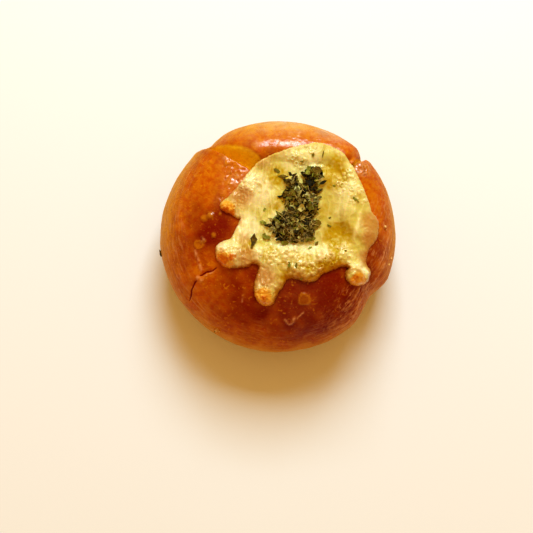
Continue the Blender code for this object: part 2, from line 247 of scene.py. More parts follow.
# Places where the skin is smooth, with no dry streaks round it.
STREAKLESS = table_of_spots("radius strength", {
    "front_left": (-17.0, -32.0, 16.0, 0.9),
    "front": (4.0, -36.0, 18.0, 0.85),
    "lower_left": (-30.0, -18.0, 8.0, 0.8),
})

# Places where the skin is scratched slantwise.
SCRATCHED = table_of_spots("radius strength", {
    "lower_right": (33.0, -32.0, 9.5, 1.0),
    "lower_right_far": (24.0, -40.0, 6.5, 0.7),
    "right": (43.0, -10.0, 8.0, 0.9),
    "right_back": (46.0, 6.0, 8.0, 0.7),
})
SCRATCH_SLANT = math.radians(64)

# Painted light on the back of the bun, which faces the light: paler and golden, more and more from
# here to there.
LIT_BACK = (35 * MM, 47 * MM)
# The girth of the bun in the streaks that run round it, drawn small to make them long.
STREAK_GIRTH = 13 * MM

# Places where the skin is frayed and pale.
FRAYED = table_of_spots("radius strength", {
    "upper_right": (34.8, 23.6, 3.6, 1.0),
    "left_by_the_cheese": (-17.0, 19.0, 3.0, 0.5),
    "lower_right": (37.5, -25.5, 2.5, 0.6),
})

# Places of the darkest glaze, partly baked darkest and partly painted shade where the crust faces
# away from the light, as on the front and the inner walls.
DARKEST_AND_SHADED = table_of_spots("radius strength", {
    "front": (14.0, -33.0, 26.0, 1.0),
    "front_left": (-10.0, -30.0, 18.0, 0.8),
    "front_low": (-18.0, -36.0, 11.0, 0.45),
    "lower_right": (33.0, -22.0, 11.0, 0.85),
    "left_inner": (-27.0, -2.0, 12.0, 0.95),
    "left_middle": (-35.5, 7.0, 7.0, 0.55),
    "left_outer": (-36.0, -8.0, 10.0, 0.5),
    "back_inner": (-4.0, 28.5, 6.0, 0.25),
    "right_inner": (40.5, -9.0, 7.0, 0.75),
})

# The cheese seen from above, clockwise from the back left: the line of its edge.
CHEESE_EDGE_LINE = (
    (0.2, 31.0), (7.4, 33.3), (15.9, 35.2), (21.5, 33.8), (26.4, 31.2), (30.0, 27.3),
    (34.8, 18.5), (38.3, 9.4), (39.5, 5.7), (42.1, 2.5), (42.6, -1.2), (41.7, -5.6),
    (38.9, -9.4), (37.5, -12.8), (37.3, -16.1), (39.3, -19.2), (37.7, -23.4), (32.6, -25.6),
    (28.6, -23.6), (28.0, -20.4), (29.3, -18.6), (26.7, -18.0), (22.6, -19.6), (18.4, -21.3),
    (15.7, -23.8), (11.5, -24.5), (7.3, -23.2), (3.8, -23.4), (1.7, -26.8), (-0.4, -29.5),
    (-2.1, -33.1), (-5.9, -34.1), (-9.0, -32.0), (-10.5, -27.8), (-10.1, -23.7),
    (-8.4, -18.4), (-10.8, -16.8), (-12.9, -18.0), (-16.4, -18.5), (-21.3, -18.4),
    (-24.8, -16.6), (-26.6, -13.1), (-26.2, -9.2), (-24.0, -7.3), (-20.5, -6.1),
    (-19.1, -3.9), (-16.4, 1.8), (-17.8, 2.6), (-21.3, 4.8), (-24.1, 6.4), (-24.5, 9.3),
    (-21.3, 12.0), (-17.9, 15.8), (-15.1, 19.4), (-12.3, 23.0), (-8.8, 26.6), (-3.8, 29.5),
)
EDGE_SPACING = 0.25 * MM
EDGE_RAGGEDNESS = (1.5 * MM, 0.28 * MM)

# The pool of the cheese, its thickness on the crust, and the lip along its edge.
CHEESE_CENTRE = Vector((9.0, 4.0)) * MM
CHEESE_RADIUS = 27.8 * MM
CHEESE_POOL_HEIGHT = 53.6 * MM
CHEESE_DOME = 1.6 * MM
CHEESE_POOL_TILT = 0.06
CHEESE_THICKNESS = 1.8 * MM
CHEESE_EDGE = 1.1 * MM
CHEESE_GAP = 0.35 * MM
CHEESE_BLEND = 1.6 * MM
CHEESE_SINK = 0.35 * MM
LIP_WIDTH = 1.0 * MM
LIP_LOW_SHARE = 0.35
LIP_TUCK = 0.45 * MM
THINNING_WIDTH = 4.5 * MM
LEAST_SLOPE = 0.5
# The underside has points this far apart, and one at its rim for so many of the top's.
UNDER_SPACING, UNDER_STRIDE = 2.0 * MM, 4
# The cheese bridges the cuts: the ground under it is a grid whose grooves are filled in steps,
# and it takes over within so much of the edge.
GROUND_STEP = 1.0 * MM
GROUND_STEPS = 26
BRIDGING_WIDTH = 2.0 * MM

# Thick places of the cheese, where it ran down and puffed up, and hollow ones, whose rise is
# below 0: centre, radius and rise.
SWELLINGS = table_of_spots("radius rise", {
    "left_tip": (-21.6, 7.6, 3.2, 0.9),
    "lower_left_tip": (-22.4, -13.6, 5.2, 1.9),
    "lower_left_root": (-16.0, -12.5, 4.8, 0.7),
    "bottom_tip": (-5.9, -30.6, 4.6, 1.8),
    "bottom_bubble": (-6.6, -31.6, 1.9, 0.9),
    "lower_right_tip": (33.4, -21.3, 5.4, 1.9),
    "white_blob": (19.3, -13.4, 3.4, 0.9),
    "front_white": (4.0, -11.0, 4.5, 0.6),
    "right_band": (38.6, -2.0, 4.2, 0.6),
    "front_left": (-4.5, -13.0, 5.0, 0.7),
    "front_middle": (8.5, -18.0, 6.0, 0.7),
    "front_right": (22.0, -14.5, 5.5, 0.7),
    "right_bulge": (29.5, 9.0, 8.0, 0.8),
    "back_right_fill": (24.0, 20.0, 8.0, 1.3),
    "back_left_edge": (1.0, 29.5, 5.0, -0.5),
    "back_edge": (11.0, 32.5, 6.0, -0.7),
    "back_right_edge": (22.0, 29.5, 6.5, -1.1),
    "left_fold": (-10.5, 16.5, 4.5, 0.6),
    "oily_hollow": (25.9, -4.5, 4.6, -0.6),
    "back_left_dip": (-14.8, 11.4, 3.4, -0.6),
    "bottom_root": (-5.7, -21.6, 3.4, -0.5),
})

# The unevenness of the cheese, as that of the crust, and its ridges, the knobs at its front and
# the strands at its left: their size, along both axes where it differs, and their rise.
CHEESE_UNEVENNESS = ((6.5, 0.5, 8.3), (2.6, 0.22, 4.9), (1.1, 0.04, 6.1))
RIDGE_SIZE, RIDGE_RISE = (3.2 * MM, 5.5 * MM, 1), 0.22 * MM
KNOB_SIZE, KNOB_RISE = 1.9 * MM, 0.65 * MM
STRAND_SIZE, STRAND_RISE = (1.5 * MM, 8.0 * MM, 1), 0.26 * MM

# Raised folds of the cheese: half width, rise and points.
FOLDS = table_of_lines({
    "front": (1.1, 0.5, (7.5, -17.0), (14.0, -16.2), (22.5, -12.0)),
    "left": (1.0, 0.4, (-11.5, 12.0), (-8.0, 21.0)),
    "left_inner": (0.8, 0.3, (-7.0, 9.0), (-5.0, 18.5)),
    "right": (1.1, 0.45, (31.0, -8.0), (33.4, -1.0), (35.0, 5.0)),
    "lower_right_tip": (
        0.8, 0.7, (28.8, -20.2), (30.6, -18.6), (33.6, -19.2), (36.4, -19.6), (38.0, -22.4),
    ),
    "lower_left_tip": (0.9, 0.5, (-25.8, -9.4), (-22.6, -10.6), (-19.6, -9.6), (-15.6, -10.4)),
    "to_bottom": (0.8, 0.4, (-6.5, -19.0), (-3.5, -27.0)),
    "bottom_left": (0.6, 0.35, (-8.6, -20.5), (-8.0, -28.0)),
})

# Ripples of the thin cheese, round their centre.
RIPPLES = table_of_spots("radius", {
    "left": (-15.3, 10.8, 5.0),
    "right": (37.4, -3.4, 4.6),
    "lower_left": (-13.0, -13.6, 4.0),
})
RIPPLE_WAVE, RIPPLE_RISE = 1.6 * MM, 0.08 * MM

# Bubbly places of the cheese: centre, radius, and how many bubbles.
BUBBLY = table_of_spots("radius count", {
    "front": (12, -16, 10, 150),
    "front_left": (-3, -11, 7, 70),
    "front_right": (24, -13, 7, 90),
    "lower_left_tip": (-22, -14, 5, 60),
    "bottom_tip": (-6, -29, 5, 60),
    "lower_right_tip": (33, -21, 5, 30),
    "left_tip": (-21, 7, 4, 40),
    "back_left_edge": (-13, 19, 5, 60),
    "right": (33, 16, 8, 90),
    "back": (12, 31, 9, 60),
})
BUBBLE_RADIUS = (0.28, 1.0)
BUBBLE_RISE_SHARE = 0.6
BURST_SHARE = 0.3
# The span of relief, from hollow to peak, over which the cheese changes colour.
RELIEF_SPAN = 1.4 * MM
CHEESE_SEED = 11

# Coloured places of the cheese: centre, radius and strength.
BROWNED = table_of_spots("radius strength", {
    "left_tip": (-21.8, 6.4, 3.8, 0.85),
    "lower_left_tip": (-23.4, -16.4, 5.0, 1.0),
    "bottom_tip": (-6.6, -31.4, 4.6, 0.9),
    "lower_right_tip": (33.4, -24.4, 4.0, 1.0),
})
BURNT = table_of_spots("radius strength", {
    "left_tip": (-22.4, 5.9, 2.0, 0.8),
    "left_tip_inner": (-19.6, 4.6, 1.6, 0.8),
    "lower_left_core": (-23.5, -15.2, 2.8, 0.9),
    "lower_left_second": (-19.4, -14.8, 2.0, 0.8),
    "bottom_core": (-6.3, -31.9, 1.9, 0.55),
    "lower_right_core": (32.2, -22.8, 1.8, 0.6),
})
YELLOW = table_of_spots("radius strength", {
    "oily_hollow": (25.4, -5.6, 7.0, 1.0),
    "oily_hollow_low": (23.5, -10.5, 4.5, 0.9),
    "back_right": (23.5, 20.5, 6.0, 1.3),
    "right_of_the_stick": (24.5, 26.5, 4.0, 0.7),
    "back_right_edge": (33.0, 12.0, 3.5, 0.6),
    "front": (8.0, -20.5, 8.5, 1.2),
    "front_right": (21.5, -17.5, 6.5, 1.2),
    "front_left": (-3.5, -13.5, 4.5, 0.9),
    "left_of_the_heap": (0.0, 9.0, 4.0, 0.6),
    "back_left": (-1.0, 21.0, 5.0, 0.7),
    "lower_left": (-12.5, -9.5, 3.0, 0.7),
    "lower_right_tip": (31.5, -20.5, 4.0, 0.6),
    "right_of_the_heap": (20.0, 5.5, 4.0, 0.4),
})
WHITER = table_of_spots("radius strength", {
    "left": (-10.0, 15.0, 8.0, 0.8),
    "left_low": (-13.0, -1.0, 6.0, 0.8),
    "front_left": (-9.0, -12.0, 3.0, 0.7),
    "front": (3.0, -11.0, 5.5, 0.9),
    "front_right": (12.5, -11.5, 4.5, 0.7),
    "white_blob": (19.3, -13.4, 3.6, 1.2),
    "back": (8.0, 29.0, 9.0, 0.5),
    "right": (29.0, 14.0, 6.0, 0.5),
    "lower_left_tip": (-24.0, -10.2, 3.6, 1.0),
    "lower_right_tip": (36.4, -20.0, 2.2, 0.9),
    "lower_right_top": (31.5, -18.6, 2.2, 0.8),
})
THIN = table_of_spots("radius strength", {
    "left": (-16.0, 11.5, 6.0, 0.95),
    "left_root": (-19.0, 6.0, 3.5, 0.6),
    "lower_left_root": (-13.6, -14.0, 5.0, 0.85),
    "bottom_root": (-5.5, -23.0, 5.5, 0.9),
    "right_band": (39.0, -6.0, 5.0, 0.95),
    "right_band_top": (39.5, 0.5, 5.5, 0.95),
    "left_strands": (-9.0, 15.0, 7.0, 0.22),
    "lower_left_hollow": (-14.5, -6.5, 3.2, 0.55),
    "left_hollow": (-16.5, 2.0, 2.6, 0.5),
    "lower_right_neck": (37.4, -14.0, 4.0, 0.95),
    "back_left_edge": (-6.0, 27.0, 4.5, 0.45),
})

# The heap of parsley: the centre and the half widths, across and along, of its parts, and the
# share of each kind of bit that lies in each part.
HEAPS = {
    "top": {"at": (14.9, 19.6), "half": (3.8, 5.6)},
    "top_left": {"at": (5.4, 18.8), "half": (2.9, 2.2)},
    "middle": {"at": (8.9, 9.2), "half": (8.2, 8.4)},
    "low": {"at": (6.0, -1.4), "half": (9.6, 6.4)},
}
LEAF_SHARES = (0.18, 0.05, 0.37, 0.40)
PALE_SHARES = (0.04, 0.02, 0.50, 0.44)
STALK_SHARES = (0.06, 0.02, 0.24, 0.68)
HEAP_MOUND = 1.3 * MM

# Flakes with places of their own: centre, length, narrowness, turn, and shade from 0, the
# darkest, to 1.
LOOSE_FLAKES = table_of_spots("length narrow turn shade", {
    "stick": (18.8, 29.7, 3.6, 0.16, 78, 0.55),
    "by_the_stick": (14.6, 29.2, 1.9, 0.7, 60, 0.6),
    "back": (9.9, 26.6, 1.7, 0.4, 15, 0.6),
    "back_left": (-0.6, 23.0, 4.2, 0.4, -28, 0.62),
    "back_left_low": (0.4, 20.6, 2.4, 0.3, -10, 0.5),
    "left": (-5.9, 6.3, 1.6, 0.8, 80, 0.9),
    "left_low": (-6.3, 0.7, 3.4, 0.65, -30, 0.85),
    "big": (-10.5, -7.2, 6.4, 0.5, 78, 0.35),
    "by_the_big": (-5.3, -5.2, 4.8, 0.6, -50, 0.75),
    "right_back": (23.5, 16.2, 1.4, 0.7, 0, 0.85),
    "right": (32.1, 10.3, 2.2, 0.6, -50, 0.85),
    "right_tail": (33.4, 9.4, 1.4, 0.5, -60, 1.0),
    "right_low": (21.7, 2.8, 1.3, 0.6, 30, 0.8),
    "right_heap": (21.4, -0.6, 2.4, 0.4, -20, 0.7),
    "front": (13.2, -10.1, 2.0, 0.5, 30, 0.9),
    "front_low": (4.5, -17.6, 2.6, 0.5, 85, 0.8),
    "front_low_right": (7.3, -18.0, 2.6, 0.4, 80, 0.7),
    "front_right": (28.2, -11.6, 1.2, 0.6, 0, 0.9),
    "front_edge": (9.6, -23.4, 1.6, 0.4, 10, 0.7),
})

# The flakes that stand out on top of the heap, as above, with how far they lie above it.
TOP_FLAKES = table_of_spots("length narrow turn shade up", {
    "green": (12.6, 22.4, 5.4, 0.45, 78, 0.9, 1.7),
    "brown_round": (16.4, 22.4, 4.4, 0.9, 30, 0.45, 1.0),
    "dark_centre": (13.6, 17.2, 5.2, 0.6, -20, 0.0, 1.2),
    "dark_right": (18.6, 17.4, 3.8, 0.4, 25, 0.05, 0.9),
    "dark_low": (16.6, 13.8, 5.0, 0.35, 20, 0.25, 0.9),
    "star_up": (5.0, 21.4, 3.2, 0.4, 115, 0.05, 0.6),
    "star_right": (6.8, 19.6, 3.6, 0.5, 35, 0.1, 0.7),
    "star_left": (4.2, 18.4, 3.2, 0.45, -10, 0.2, 0.6),
    "star_low": (7.6, 17.2, 2.6, 0.5, -60, 0.0, 0.6),
    "left_brown": (2.6, 12.2, 3.4, 0.5, 70, 0.5, 0.5),
    "big_brown": (15.4, -0.4, 5.4, 0.75, 35, 0.55, 0.9),
    "low_dark": (11.6, 0.8, 4.4, 0.6, -35, 0.0, 1.0),
    "low_green": (13.6, -6.4, 4.0, 0.6, 10, 0.8, 0.7),
    "low_left_green": (1.4, -3.6, 3.8, 0.6, -40, 0.75, 0.8),
    "low_front_green": (2.6, -8.2, 3.8, 0.6, 5, 0.7, 0.5),
    "low_middle": (7.6, -2.8, 4.2, 0.55, 60, 0.0, 1.3),
    "low_left_dark": (3.0, 0.6, 3.6, 0.5, 50, 0.0, 1.3),
    "low_left_tip": (-1.6, 0.8, 3.6, 0.35, 40, 0.1, 0.5),
    "low_front_dark": (0.6, -6.4, 4.0, 0.4, 15, 0.05, 0.9),
    "middle_pale": (6.2, 12.8, 4.2, 0.7, 20, 0.6, 1.2),
    "middle_left": (3.6, 13.6, 3.8, 0.7, 75, 0.5, 0.9),
    "middle_dark": (14.4, 14.6, 5.0, 0.3, 12, 0.05, 1.4),
    "middle_ring": (13.2, 6.8, 4.0, 0.8, -25, 0.65, 1.2),
    "middle_left_low": (3.4, 8.6, 3.8, 0.6, 50, 0.45, 1.0),
    "middle_low": (5.6, 6.0, 4.0, 0.5, -20, 0.1, 1.0),
    "middle_edge": (16.2, 6.4, 2.6, 0.35, -40, 0.0, 1.0),
    "bright_green": (10.8, -2.2, 2.6, 0.35, -35, 1.0, 1.2),
    "low_right_edge": (16.2, -8.0, 2.4, 0.5, 60, 0.6, 0.3),
})

# Bits of parsley that cling to the crust, as above, with the height of each.
CRUST_FLAKES = table_of_spots("height length narrow turn shade", {
    "left_edge": (-51.5, -7.6, 24.0, 3.6, 0.4, -72, 0.3),
    "left": (-28.7, -2.8, 46.9, 1.5, 0.5, -30, 0.9),
    "back": (8.4, 48.4, 30.4, 1.8, 0.4, 20, 0.6),
    "front": (-27.4, -42.6, 28.6, 1.2, 0.5, 60, 0.7),
})

# Crumbs that cling to the crust: centre and width.
CRUMBS = table_of_spots("width", {
    "front": (-26.5, -42.1, 1.9),
    "front_second": (-27.9, -41.6, 1.2),
    "front_third": (-25.4, -42.7, 0.9),
    "right": (45.5, 0.3, 1.4),
    "right_second": (45.9, -0.9, 0.8),
    "right_low": (48.8, -11.3, 1.1),
    "right_lowest": (47.9, -14.1, 1.0),
})
CRUMB_ROUGHNESS, CRUMB_ROUGHNESS_SIZE = 0.56, 0.45 * MM
FLAKE_THICKNESS = 0.13 * MM
FLAKE_RIM_POINTS = 9
FLAKE_SEED = 23

# How the bits of the heap are drawn: lengths and rises in millimetres, narrowness as width over
# length, bend as a share of the length, and tilts in degrees.
LEAVES = {
    "lengths": (1.2, 4.8),
    "narrows": (0.25, 0.75),
    "bends": (-0.8, 0.8),
    "rises": (0.1, 1.4),
}
PALE_BITS = {
    "lengths": (1.6, 4.2),
    "narrows": (0.25, 0.8),
    "bends": (-0.9, 0.9),
    "rises": (0.8, 1.8),
}
STALKS = {
    "lengths": (1.6, 4.6),
    "girths": (0.18, 0.32),
    "bends": (-0.3, 0.3),
    "rises": (1.0, 2.1),
}
LEAF_TILT, STALK_TILT, FLAT_TILT = 40, 14, 12
NAMED_RISE, NAMED_BENDS, CLINGING_BEND = 0.25, (-0.2, 0.2), 0.1
STALK_STATIONS, STALK_SIDES = 4, 6

OVERHEAD = 100 * MM
DOWN = Vector((0, 0, -1))

# The camera looks down at the bun from the front, a little off straight down.
LENS = 100
SENSOR = 36
VIEW_DISTANCE = 650 * MM
VIEW_ELEVATION = math.radians(81)
VIEW_TARGET = Vector((-5.05, -13.5, 25)) * MM

# How far off the light from behind stands, and its colour.
KEY_DISTANCE = 1.5
KEY_TINT = (0.68, 0.87, 1.02)


# ---------------------------------------------------------------------------------------
# Shapes


def smooth(share):
    """0 to 1, level at both ends."""
    share = min(1.0, max(0.0, share))
    return share * share * (3 - 2 * share)


def smooth_all(shares):
    shares = np.clip(shares, 0, 1)
    return shares * shares * (3 - 2 * shares)


def fades(values, start, end):
    """From 0 where the values reach start to 1 where they reach end, both in millimetres."""
    return smooth_all((values - start * MM) / ((end - start) * MM))


def turn_between(angle, start):
    """The signed angle from start to angle, in degrees, from -180 to 180."""
    return (angle - start + 180) % 360 - 180


def direction(angle):
    """The plan direction at an angle in radians, one metre long."""
    return Vector((math.cos(angle), math.sin(angle)))


def curve_points(points, per_span, closed=False):
    """A smooth line through points given in millimetres, as plan vectors in metres."""
    knots = [Vector((x, y, 0)) * MM for x, y in points]
    if closed:
        ends = [knots[-1]] + knots + knots[:2]
    else:
        ends = [knots[0]] + knots + [knots[-1]]
    line = []
    for before, start, end, after in zip(ends, ends[1:], ends[2:], ends[3:]):
        handles = (start + (end - before) / 6, end - (after - start) / 6)
        span = interpolate_bezier(start, *handles, end, per_span + 1)
        line += [Vector(point[:2]) for point in span[:-1]]
    return line if closed else line + [Vector(knots[-1][:2])]


@lru_cache(maxsize=None)
def petal_swell(angle):
    """How far the crust stands out and is lifted at an angle, rounded off towards the cuts."""
    out = lift = 0.0
    for petal in PETALS.values():
        start, end = petal["spans"]
        middle = (start + end) / 2
        across = turn_between(math.degrees(angle), middle) + middle

        def fill(start_round, end_round):
            return smooth((across - start) / start_round) * smooth((end - across) / end_round)

        rounds = petal["rounds"]
        out += petal["stands_out"] * MM * fill(*rounds)
        lift += petal["lift"] * MM * fill(*petal.get("lift_rounds", rounds))
    return out, lift


def equator_point(angle):
    out, _ = petal_swell(angle)
    around = direction(angle)
    return Vector(
        (around.x * (EQUATOR_RADIUS_X + out), around.y * (EQUATOR_RADIUS_Y + out))
    )


def crest_point(angle):
    """The crest is a rounded square, with its corners towards the cuts."""
    corner = math.cos(4 * (angle - CREST_SQUARE_TURN))
    radius = CREST_RADIUS * (1 + CREST_SQUARENESS * corner)
    return CREST_CENTRE + direction(angle) * radius


def crust_point(share, angle):
    """A point of the whole crust before it is cut, from share 0, the middle of the base, to
    share 1, the middle of the hollow."""
    base_share, equator_share, crest_share, _ = CRUST_STATIONS
    _, lift = petal_swell(angle)
    equator, crest = equator_point(angle), crest_point(angle)
    crest_height = CREST_HEIGHT + lift
    base = direction(angle) * BASE_RADIUS
    if share <= base_share:
        return (*base * share / base_share, 0.0)
    if share <= equator_share:
        turn = (share - base_share) / (equator_share - base_share) * math.pi / 2
        plan = base.lerp(equator, math.sin(turn))
        return (*plan, EQUATOR_HEIGHT * (1 - math.cos(turn)))
    if share <= crest_share:
        turn = (share - equator_share) / (crest_share - equator_share) * math.pi / 2
        plan = crest.lerp(equator, math.cos(turn) ** SIDE_FULLNESS)
        rise = math.sin(turn) ** SIDE_FULLNESS
        return (*plan, EQUATOR_HEIGHT + (crest_height - EQUATOR_HEIGHT) * rise)
    inward = (share - crest_share) / (1 - crest_share)
    plan = crest.lerp(CREST_CENTRE, inward)
    fall = smooth(inward / (1 - HOLLOW_FLOOR_SHARE))
    return (*plan, crest_height + (HOLLOW_FLOOR - crest_height) * fall)


def piece_from(name, bm):
    """A new object in the scene, from a mesh in the making."""
    mesh = bpy.data.meshes.new(name)
    bm.to_mesh(mesh)
    bm.free()
    piece = bpy.data.objects.new(name, mesh)
    bpy.context.scene.collection.objects.link(piece)
    return piece


def apply_modifiers(piece):
    graph = bpy.context.evaluated_depsgraph_get()
    made = bpy.data.meshes.new_from_object(piece.evaluated_get(graph))
    piece.modifiers.clear()
    piece.data = made


def remove_piece(piece):
    mesh = piece.data
    bpy.data.objects.remove(piece)
    bpy.data.meshes.remove(mesh)


def whole_crust():
    """A sphere drawn into the form of the uncut bun, with its hollow on top."""
    bm = bmesh.new()
    bmesh.ops.create_uvsphere(
        bm, u_segments=CRUST_SEGMENTS, v_segments=CRUST_RINGS, radius=1
    )
    for vert in bm.verts:
        share = 0.5 + math.asin(max(-1, min(1, vert.co.z))) / math.pi
        angle = round(math.atan2(vert.co.y, vert.co.x), 9)
        vert.co = crust_point(share, angle)
    bmesh.ops.recalc_face_normals(bm, faces=bm.faces)
    bm.normal_update()
    return bm


class Crust:
    """The uncut crust: its height and slope at a place seen from above, and its distance."""

    def __init__(self):
        bm = whole_crust()
        self.tree = BVHTree.FromBMesh(bm)
        bm.free()

    def at(self, x, y):
        hit, normal, _, _ = self.tree.ray_cast(Vector((x, y, OVERHEAD)), DOWN)
        return hit.z, max(LEAST_SLOPE, normal.z)

    def height(self, x, y):
        """The height of the crust at a place, or of its widest line where it lies beyond."""
        hit = self.tree.ray_cast(Vector((x, y, OVERHEAD)), DOWN)[0]
        return hit.z if hit else EQUATOR_HEIGHT

    def depth_of(self, point):
        return self.tree.find_nearest(point)[3]


def along_cut(values, station):
    """A value at a station of a cut, in metres, between the ones given at its points."""
    span = min(len(values) - 2, station // CUT_STATIONS)
    part = station / CUT_STATIONS - span
    return (values[span] + (values[span + 1] - values[span]) * part) * MM


def blade(name, cut):
    """A cutter along the line of a cut: a wedge that narrows to a thin floor, with walls that
    wander as torn bread does."""
    line = curve_points(cut["line"], CUT_STATIONS)
    last = len(line) - 1
    bm = bmesh.new()
    bmesh.ops.create_cube(bm, size=1)
    along = [edge for edge in bm.edges if abs(edge.verts[0].co.x - edge.verts[1].co.x) > 0.5]
    bmesh.ops.subdivide_edges(bm, edges=along, cuts=last - 1, use_grid_fill=True)
    for vert in bm.verts:
        station = round((vert.co.x + 0.5) * last)
        here = line[station]
        ahead = line[min(last, station + 1)] - line[max(0, station - 1)]
        to_left = Vector((-ahead.y, ahead.x)).normalized()
        floor = along_cut(cut["floor"], station)
        width = CUT_FLOOR_WIDTH / 2
        if vert.co.z > 0:
            opens = cut["left_open"] if vert.co.y > 0 else cut["right_open"]
            widening = (CUT_TOP - floor) / (OPEN_HEIGHT - floor)
            width += along_cut(opens, station) * widening
        wander = noise.noise(Vector((*here, 0)) / WANDER_SIZE) * cut["wanders"] * MM
        place = here + to_left * (width * (1 if vert.co.y > 0 else -1) + wander)
        vert.co = (*place, CUT_TOP if vert.co.z > 0 else floor)
    bmesh.ops.recalc_face_normals(bm, faces=bm.faces)
    return piece_from(name, bm)


def points_of(piece):
    """The places of a piece's points, one to a row."""
    points = np.empty(len(piece.data.vertices) * 3, np.float32)
    piece.data.vertices.foreach_get("co", points)
    return points.reshape(-1, 3).astype(float)


def normals_of(piece):
    normals = np.empty(len(piece.data.vertices) * 3, np.float32)
    piece.data.vertex_normals.foreach_get("vector", normals)
    return normals.reshape(-1, 3).astype(float)


def set_points(piece, points):
    piece.data.vertices.foreach_set("co", points.astype(np.float32).ravel())
    piece.data.update()


def set_mask(piece, name, values):
    """Keeps a value from 0 to 1 at each point of a piece, for its material."""
    mask = piece.data.attributes.new(name, "FLOAT", "POINT")
    mask.data.foreach_set("value", np.clip(values, 0, 1).astype(np.float32))


def noise_at(points, size, seed=0.0):
    """Smooth noise from -1 to 1 at each point, with features of a size in metres."""
    if np.isscalar(size):
        size = (size, size, size)
    places = points / np.array(size) + np.array((seed, seed * 1.7, -seed))
    return np.array([noise.noise(place) for place in places.tolist()])


def unevenness(points, *kinds):
    """How far a skin rises at each point, by several sizes of noise."""
    return sum(noise_at(points, size * MM, seed) * rise * MM for size, rise, seed in kinds)


def off_spot(points, spot):
    """How far points lie from the middle of a spot seen from above, in its radii."""
    x, y = spot["at"]
    return np.hypot(points[:, 0] - x * MM, points[:, 1] - y * MM) / (spot["radius"] * MM)


def patches(points, spots):
    """The strength of the nearest of several soft patches at each point."""
    strength = np.zeros(len(points))
    for spot in spots.values():
        reach = smooth_all(1.35 - off_spot(points, spot)) * spot["strength"]
        strength = np.maximum(strength, reach)
    return strength


# ---------------------------------------------------------------------------------------
# The crust


def cut_crust(voxel):
    """The crust with its four cuts, on an even skin of small faces."""
    piece = piece_from("crust", whole_crust())
    blades = [blade("cut_" + name, cut) for name, cut in CUTS.items()]
    for cutter in blades:
        cutting = piece.modifiers.new(cutter.name, "BOOLEAN")
        cutting.operation = "DIFFERENCE"
        cutting.solver = "MANIFOLD"
        cutting.object = cutter
    skin = piece.modifiers.new("even skin", "REMESH")
    skin.mode = "VOXEL"
    skin.voxel_size = voxel
    apply_modifiers(piece)
    for cutter in blades:
        remove_piece(cutter)
    piece.data.materials.clear()
    piece.data.polygons.foreach_set("material_index", [0] * len(piece.data.polygons))
    return piece


def flatten_base(piece):
    """One many-sided face in place of the small faces of the flat base."""
    bm = bmesh.new()
    bm.from_mesh(piece.data)
    low = [face for face in bm.faces if all(vert.co.z < BASE_SLACK for vert in face.verts)]
    flat = [face for face in low if face.normal.z < -0.98]
    made = bmesh.ops.dissolve_faces(bm, faces=flat, use_verts=True)["region"]
    bmesh.ops.triangulate(bm, faces=made)
    bm.to_mesh(piece.data)
    bm.free()


def crust_relief(points, depth, flank):
    """How far the skin of the crust rises at each point."""
    outer = 1 - smooth_all(depth / SKIN_DEPTH)
    rise = unevenness(points, LUMPS, DIMPLES, FINE_PORES)
    streaks = noise_at(points, (STREAK_LENGTH, STREAK_LENGTH, STREAK_HEIGHT), 5.2)
    rise += streaks * STREAK_RISE * flank
    return rise * (0.4 + 0.6 * outer) + unevenness(points, CUT_ROUGHNESS) * (1 - outer)


def blister_relief(points):
    """How far blisters rise, and where their thin golden tops are."""
    rise, gold = np.zeros(len(points)), np.zeros(len(points))
    top = points[:, 2] > EQUATOR_HEIGHT
    uneven = 1 + 0.4 * noise_at(points, 3.4 * MM, 8.8)
    for spot in BLISTERS.values():
        off = off_spot(points, spot) * uneven
        dome = np.sqrt(np.clip(1 - off**2, 0, 1)) * top
        rim = np.exp(-(((off - 0.85) / 0.16) ** 2)) * top
        height = dome * (1 - spot["ring"]) + rim * spot["ring"]
        rise += height * spot["rise"] * MM
        shown = rim * 0.45 + dome * 0.35 if spot["ring"] else dome * 0.7
        gold = np.maximum(gold, shown)
    return rise, gold


def crumple_relief(points):
    """Fine folds of the skin in the crumpled places."""
    rise = np.zeros(len(points))
    folds = 1 - 2.5 * abs(noise_at(points, CRUMPLE_SIZE, 15.1))
    folds += 0.6 * noise_at(points, CRUMPLE_SIZE / 2, 2.9)
    for spot in CRUMPLED.values():
        reach = smooth_all(1.3 - off_spot(points, spot))
        rise += folds * reach * spot["rise"] * MM
    return rise


def left_of_cut(points, cut):
    """How far points lie to the left of the line of a cut, seen from above."""
    line = np.array(curve_points(cut["line"], CUT_STATIONS))
    ahead = np.gradient(line, axis=0)
    best, side = np.full(len(points), 1.0), np.zeros(len(points))
    for (x, y), (run_x, run_y) in zip(line, ahead):
        off_x, off_y = points[:, 0] - x, points[:, 1] - y
        off = np.hypot(off_x, off_y)
        across = (run_x * off_y - run_y * off_x) / math.hypot(run_x, run_y)
        side = np.where(off < best, across, side)
        best = np.minimum(off, best)
    return side


def round_off(piece, shares, steps):
    """Draws points towards the middle of their neighbours, by their share, over and over."""
    points = points_of(piece)
    ends = np.empty(len(piece.data.edges) * 2, np.int32)
    piece.data.edges.foreach_get("vertices", ends)
    first, second = ends.reshape(-1, 2).T
    here, there = np.concatenate([first, second]), np.concatenate([second, first])
    moving = shares[here] > 0
    here, there = here[moving], there[moving]
    count = np.maximum(1, np.bincount(here, minlength=len(points)))
    for _ in range(steps):
        for axis in range(3):
            total = np.bincount(here, points[there, axis], len(points))
            points[:, axis] += (total / count - points[:, axis]) * shares * 0.6
    set_points(piece, points)


def soften_cut(piece):
    """Rounds off the back side of the upper left cut."""
    points = points_of(piece)
    behind = -left_of_cut(points, CUTS["upper_left"])
    shares = patches(points, ROUNDED) * smooth_all((behind - ROUNDED_FROM) / (1.5 * MM))
    shares *= points[:, 2] > EQUATOR_HEIGHT
    round_off(piece, shares, ROUNDING_STEPS)


